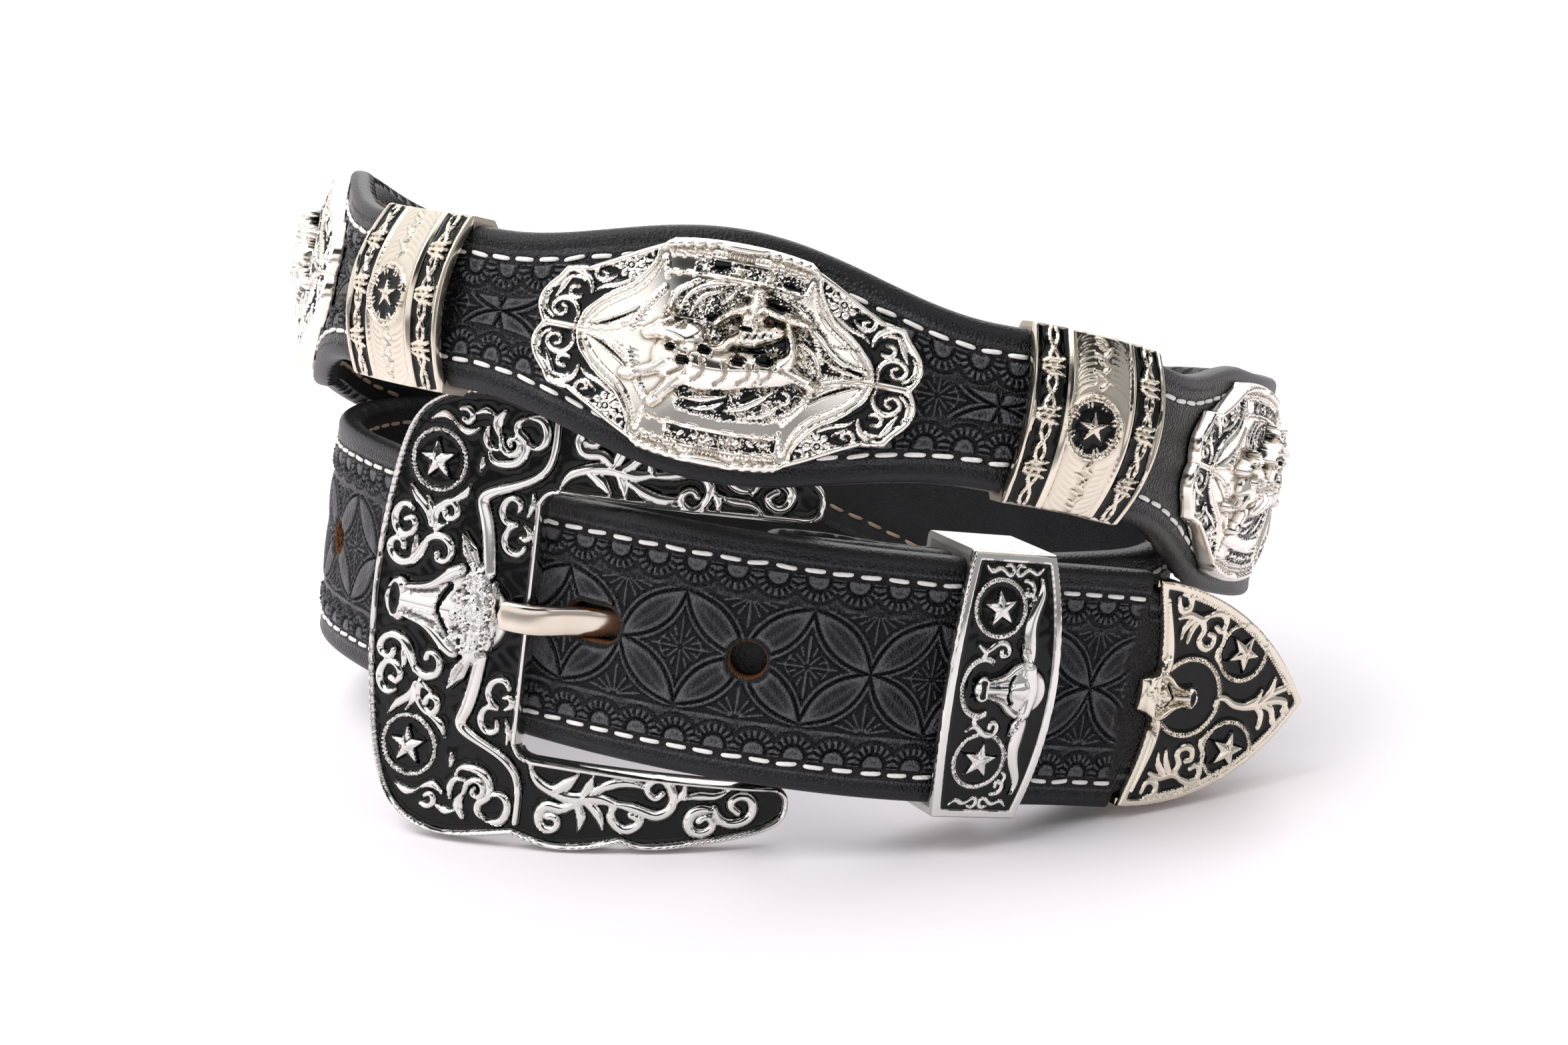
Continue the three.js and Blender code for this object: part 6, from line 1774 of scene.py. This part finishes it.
# Columns: label, description, linear red, green and blue
COLOURS = {
    "silver": ("Silver", "Bright metal of buckle and keeper", (0.72, 0.705, 0.69)),
    "shade": ("Silver shade", "Metal in hollows and smudges", (0.22, 0.21, 0.2)),
    "gold": ("Pale gold", "Metal of tip and bands", (0.72, 0.66, 0.56)),
    "concho": ("Concho", "Paler gold of the conchos", (0.89, 0.85, 0.79)),
    "prong": ("Champagne", "Metal of the prong", (0.7, 0.63, 0.54)),
    "gold_shade": ("Pale gold shade", "Pale gold in its hollows", (0.3, 0.25, 0.17)),
    "enamel": ("Enamel", "Black enamel of the grounds", (0.0015, 0.0015, 0.002)),
    "leather": ("Leather", "Dyed leather of the strap", (0.005, 0.005, 0.006)),
    "thread": ("Thread", "Sewing thread on the face", (0.84, 0.83, 0.8)),
    "lining_thread": ("Lining thread", "Sewing thread on the inside", (0.3, 0.22, 0.14)),
    "floor": ("Floor", "Pale floor", (0.89, 0.85, 0.875)),
}
# Columns: label, description, default, least, most, unit
SIZES = {
    "stitch_pitch": ("Stitch pitch", "Distance from stitch to stitch", 0.0041, 0.002, 0.01, "LENGTH"),
    "stitch_length": ("Stitch length", "Visible length of one stitch", 0.0035, 0.001, 0.008, "LENGTH"),
    "concho_step": ("Concho step", "Grid step of the conchos' relief", 0.0002, 0.0001, 0.001, "LENGTH"),
    "key_strength": ("Key light", "Power of the key light", 4.0, 0.0, 100.0, "POWER"),
}


class BeltColours(bpy.types.PropertyGroup):
    """Colours of the belt's finishes."""
    __annotations__ = {
        key: FloatVectorProperty(name=label, description=words, subtype="COLOR", default=colour)
        for key, (label, words, colour) in COLOURS.items()}


class BeltSizes(bpy.types.PropertyGroup):
    """Sizes of the fine work that a user may change."""
    __annotations__ = {
        key: FloatProperty(name=label, description=words, default=size, min=least, max=most, unit=kind)
        for key, (label, words, size, least, most, kind) in SIZES.items()}


class BELT_OT_strap(bpy.types.Operator):
    """Builds the tooled leather strap with its punched holes"""
    bl_idname = "belt.strap"
    bl_label = "Leather Strap"

    def execute(self, context):
        # The stretches meet inside the keeper and inside the right band
        joint = CONCHO_ARC - BAND_OFFSET
        arcs = (STRAP_START, KEEPER_ARC, joint, STRAP_LINE.length)
        for name, first, last in zip(("billet_leather", "belt_leather", "upper_leather"), arcs, arcs[1:]):
            finish_piece(name, build_strap(first, last), "leather", "tooled_leather", "strap")
        return {"FINISHED"}


class BELT_OT_stitching(bpy.types.Operator):
    """Builds the rows of stitches on the face and the lining of the strap"""
    bl_idname = "belt.stitching"
    bl_label = "Stitching"

    def execute(self, context):
        sizes = context.scene.belt_sizes
        pitch, dash = sizes.stitch_pitch / MM, sizes.stitch_length / MM
        for name, face, key in (("face_stitches", 1, "thread"), ("lining_stitches", -1, "lining_thread")):
            finish_piece(name, build_stitches(face, pitch, dash), key, "thread")
        return {"FINISHED"}


class BELT_OT_buckle(bpy.types.Operator):
    """Builds the cast buckle and its prong"""
    bl_idname = "belt.buckle"
    bl_label = "Buckle and Prong"

    def execute(self, context):
        finish_piece("cast_buckle", build_buckle(), "silver", "silver_metal", "buckle")
        finish_piece("buckle_prong", build_prong(), "warm", "silver_metal", "prong")
        return {"FINISHED"}


class BELT_OT_keeper(bpy.types.Operator):
    """Builds the metal keeper round the billet"""
    bl_idname = "belt.keeper"
    bl_label = "Keeper"

    def execute(self, context):
        finish_piece("metal_keeper", build_keeper(), "silver", "silver_metal", "keeper")
        return {"FINISHED"}


class BELT_OT_tip(bpy.types.Operator):
    """Builds the pointed metal tip"""
    bl_idname = "belt.tip"
    bl_label = "Tip"

    def execute(self, context):
        finish_piece("metal_tip", build_tip(), "gold", "pale_gold_metal", "tip")
        return {"FINISHED"}


class BELT_OT_conchos(bpy.types.Operator):
    """Builds the three oval conchos"""
    bl_idname = "belt.conchos"
    bl_label = "Conchos"

    def execute(self, context):
        step = context.scene.belt_sizes.concho_step / MM
        for side, name in ((-1, "right"), (0, "centre"), (1, "left")):
            shell = build_concho(CONCHO_ARC + side * CONCHO_PITCH, step)
            finish_piece(f"{name}_concho", shell, "concho", "pale_gold_metal", f"concho_{name}")
        return {"FINISHED"}


class BELT_OT_bands(bpy.types.Operator):
    """Builds the two metal bands"""
    bl_idname = "belt.bands"
    bl_label = "Bands"

    def execute(self, context):
        for side, name in ((-1, "right"), (1, "left")):
            shell = build_band(CONCHO_ARC + side * BAND_OFFSET)
            finish_piece(f"{name}_band", shell, "gold", "pale_gold_metal", f"band_{name}")
        return {"FINISHED"}


CAMERA_PLACE = np.array([0.0, -420.0, 167.3])
CAMERA_PITCH = 16.0
CAMERA_LENS = 65.57
SENSOR = 36.0
# Square area lights in metres. Columns: place, side, power as a share of the key light's
LIGHTS = {
    "key_light": ((-0.45, -0.3, 0.8), 0.45, 1.0),
    "fill_light": ((0.7, -0.45, 0.6), 0.35, 0.12),
    "back_light": ((0.1, 0.8, 0.7), 0.8, 0.8),
}


class BELT_OT_stage(bpy.types.Operator):
    """Builds the floor, the studio light and the camera"""
    bl_idname = "belt.stage"
    bl_label = "Stage"

    def execute(self, context):
        scene = context.scene
        camera = bpy.data.cameras.new("camera")
        camera.lens, camera.sensor_width = CAMERA_LENS, SENSOR
        eye = bpy.data.objects.new("camera", camera)
        eye.location = (CAMERA_PLACE + FRAME_SHIFT) * MM
        eye.rotation_euler = (math.radians(90 - CAMERA_PITCH), 0, 0)
        scene.collection.objects.link(eye)
        scene.camera = eye
        self.make_floor(scene)
        for name, (place, size, share) in LIGHTS.items():
            self.area(scene, name, place, size, scene.belt_sizes.key_strength * share)
        self.make_world(scene)
        scene.view_settings.view_transform = "Standard"
        return {"FINISHED"}

    def make_floor(self, scene):
        """Square of pale paper under the belt."""
        mesh = bpy.data.meshes.new("floor")
        mesh.from_pydata([(-4, -4, 0), (4, -4, 0), (4, 4, 0), (-4, 4, 0)], [], [(0, 1, 2, 3)])
        mesh.materials.append(material_of("floor"))
        floor = bpy.data.objects.new("floor", mesh)
        scene.collection.objects.link(floor)

    def area(self, scene, name, place, size, power):
        """Square area light that looks at the belt's middle."""
        light = bpy.data.lights.new(name, "AREA")
        light.size, light.energy = size, power
        lamp = bpy.data.objects.new(name, light)
        lamp.location = place
        middle = (Vector(CAD_BOUNDS[0]) + Vector(CAD_BOUNDS[1])) / 2
        lamp.rotation_euler = (middle - lamp.location).to_track_quat("-Z", "Y").to_euler()
        scene.collection.objects.link(lamp)

    def make_world(self, scene):
        """White room with dark fields before the viewer, low down and to the right, for the metal to show."""
        world = bpy.data.worlds.new("studio")
        world.use_nodes = True
        tree = world.node_tree
        tree.nodes.clear()
        n = Nodes(tree)
        room = n.add("ShaderNodeTexCoord", {}).outputs["Generated"]
        way = n.add("ShaderNodeSeparateXYZ", {0: room}).outputs
        front = n.ramp(n.math("SUBTRACT", way[1], n.math("MULTIPLY", way[0], 0.45)), 0.25, -0.1)
        belt = n.math("MULTIPLY", n.ramp(way[2], 0.38, 0.46), n.ramp(way[2], 0.84, 0.76))
        belt = n.math("MULTIPLY", belt, n.ramp(way[0], -0.6, -0.42))
        right = n.math("MULTIPLY", n.ramp(way[0], 0.5, 0.7), n.ramp(way[2], 0.6, 0.45))
        horizon = n.math("MULTIPLY", n.ramp(way[2], 0.1, 0.0), 0.85)
        dark = n.math("MULTIPLY", n.math("MAXIMUM", belt, horizon), front)
        dark = n.math("MAXIMUM", dark, n.math("MULTIPLY", right, 0.65))
        strength = n.mix(dark, n.ramp(way[2], -0.2, 0.9, 1.08, 1.5), 0.04)
        shade = n.add("ShaderNodeBackground", {"Color": (1.0, 0.99, 1.0, 1), "Strength": strength})
        n.add("ShaderNodeOutputWorld", {"Surface": shade.outputs[0]})
        scene.world = world


class BELT_PT_panel(bpy.types.Panel):
    """Lists the belt's pieces and their settings"""
    bl_label = "Concho Belt"
    bl_idname = "BELT_PT_panel"
    bl_space_type = "VIEW_3D"
    bl_region_type = "UI"
    bl_category = "Belt"

    def draw(self, context):
        column = self.layout.column()
        for operator in OPERATORS:
            column.operator(operator.bl_idname)
        for settings in (context.scene.belt_sizes, context.scene.belt_colours):
            for key in settings.__annotations__:
                column.prop(settings, key)


OPERATORS = (
    BELT_OT_stage, BELT_OT_strap, BELT_OT_stitching, BELT_OT_buckle, BELT_OT_keeper, BELT_OT_tip,
    BELT_OT_conchos, BELT_OT_bands,
)
CLASSES = (BeltColours, BeltSizes, *OPERATORS, BELT_PT_panel)


def register():
    for cls in CLASSES:
        bpy.utils.register_class(cls)
    bpy.types.Scene.belt_colours = PointerProperty(type=BeltColours)
    bpy.types.Scene.belt_sizes = PointerProperty(type=BeltSizes)


def unregister():
    del bpy.types.Scene.belt_sizes
    del bpy.types.Scene.belt_colours
    for cls in reversed(CLASSES):
        bpy.utils.unregister_class(cls)


def main():
    register()
    bpy.ops.belt.stage()
    bpy.ops.belt.strap()
    bpy.ops.belt.stitching()
    bpy.ops.belt.buckle()
    bpy.ops.belt.keeper()
    bpy.ops.belt.tip()
    bpy.ops.belt.conchos()
    bpy.ops.belt.bands()


if __name__ == "__main__":
    main()
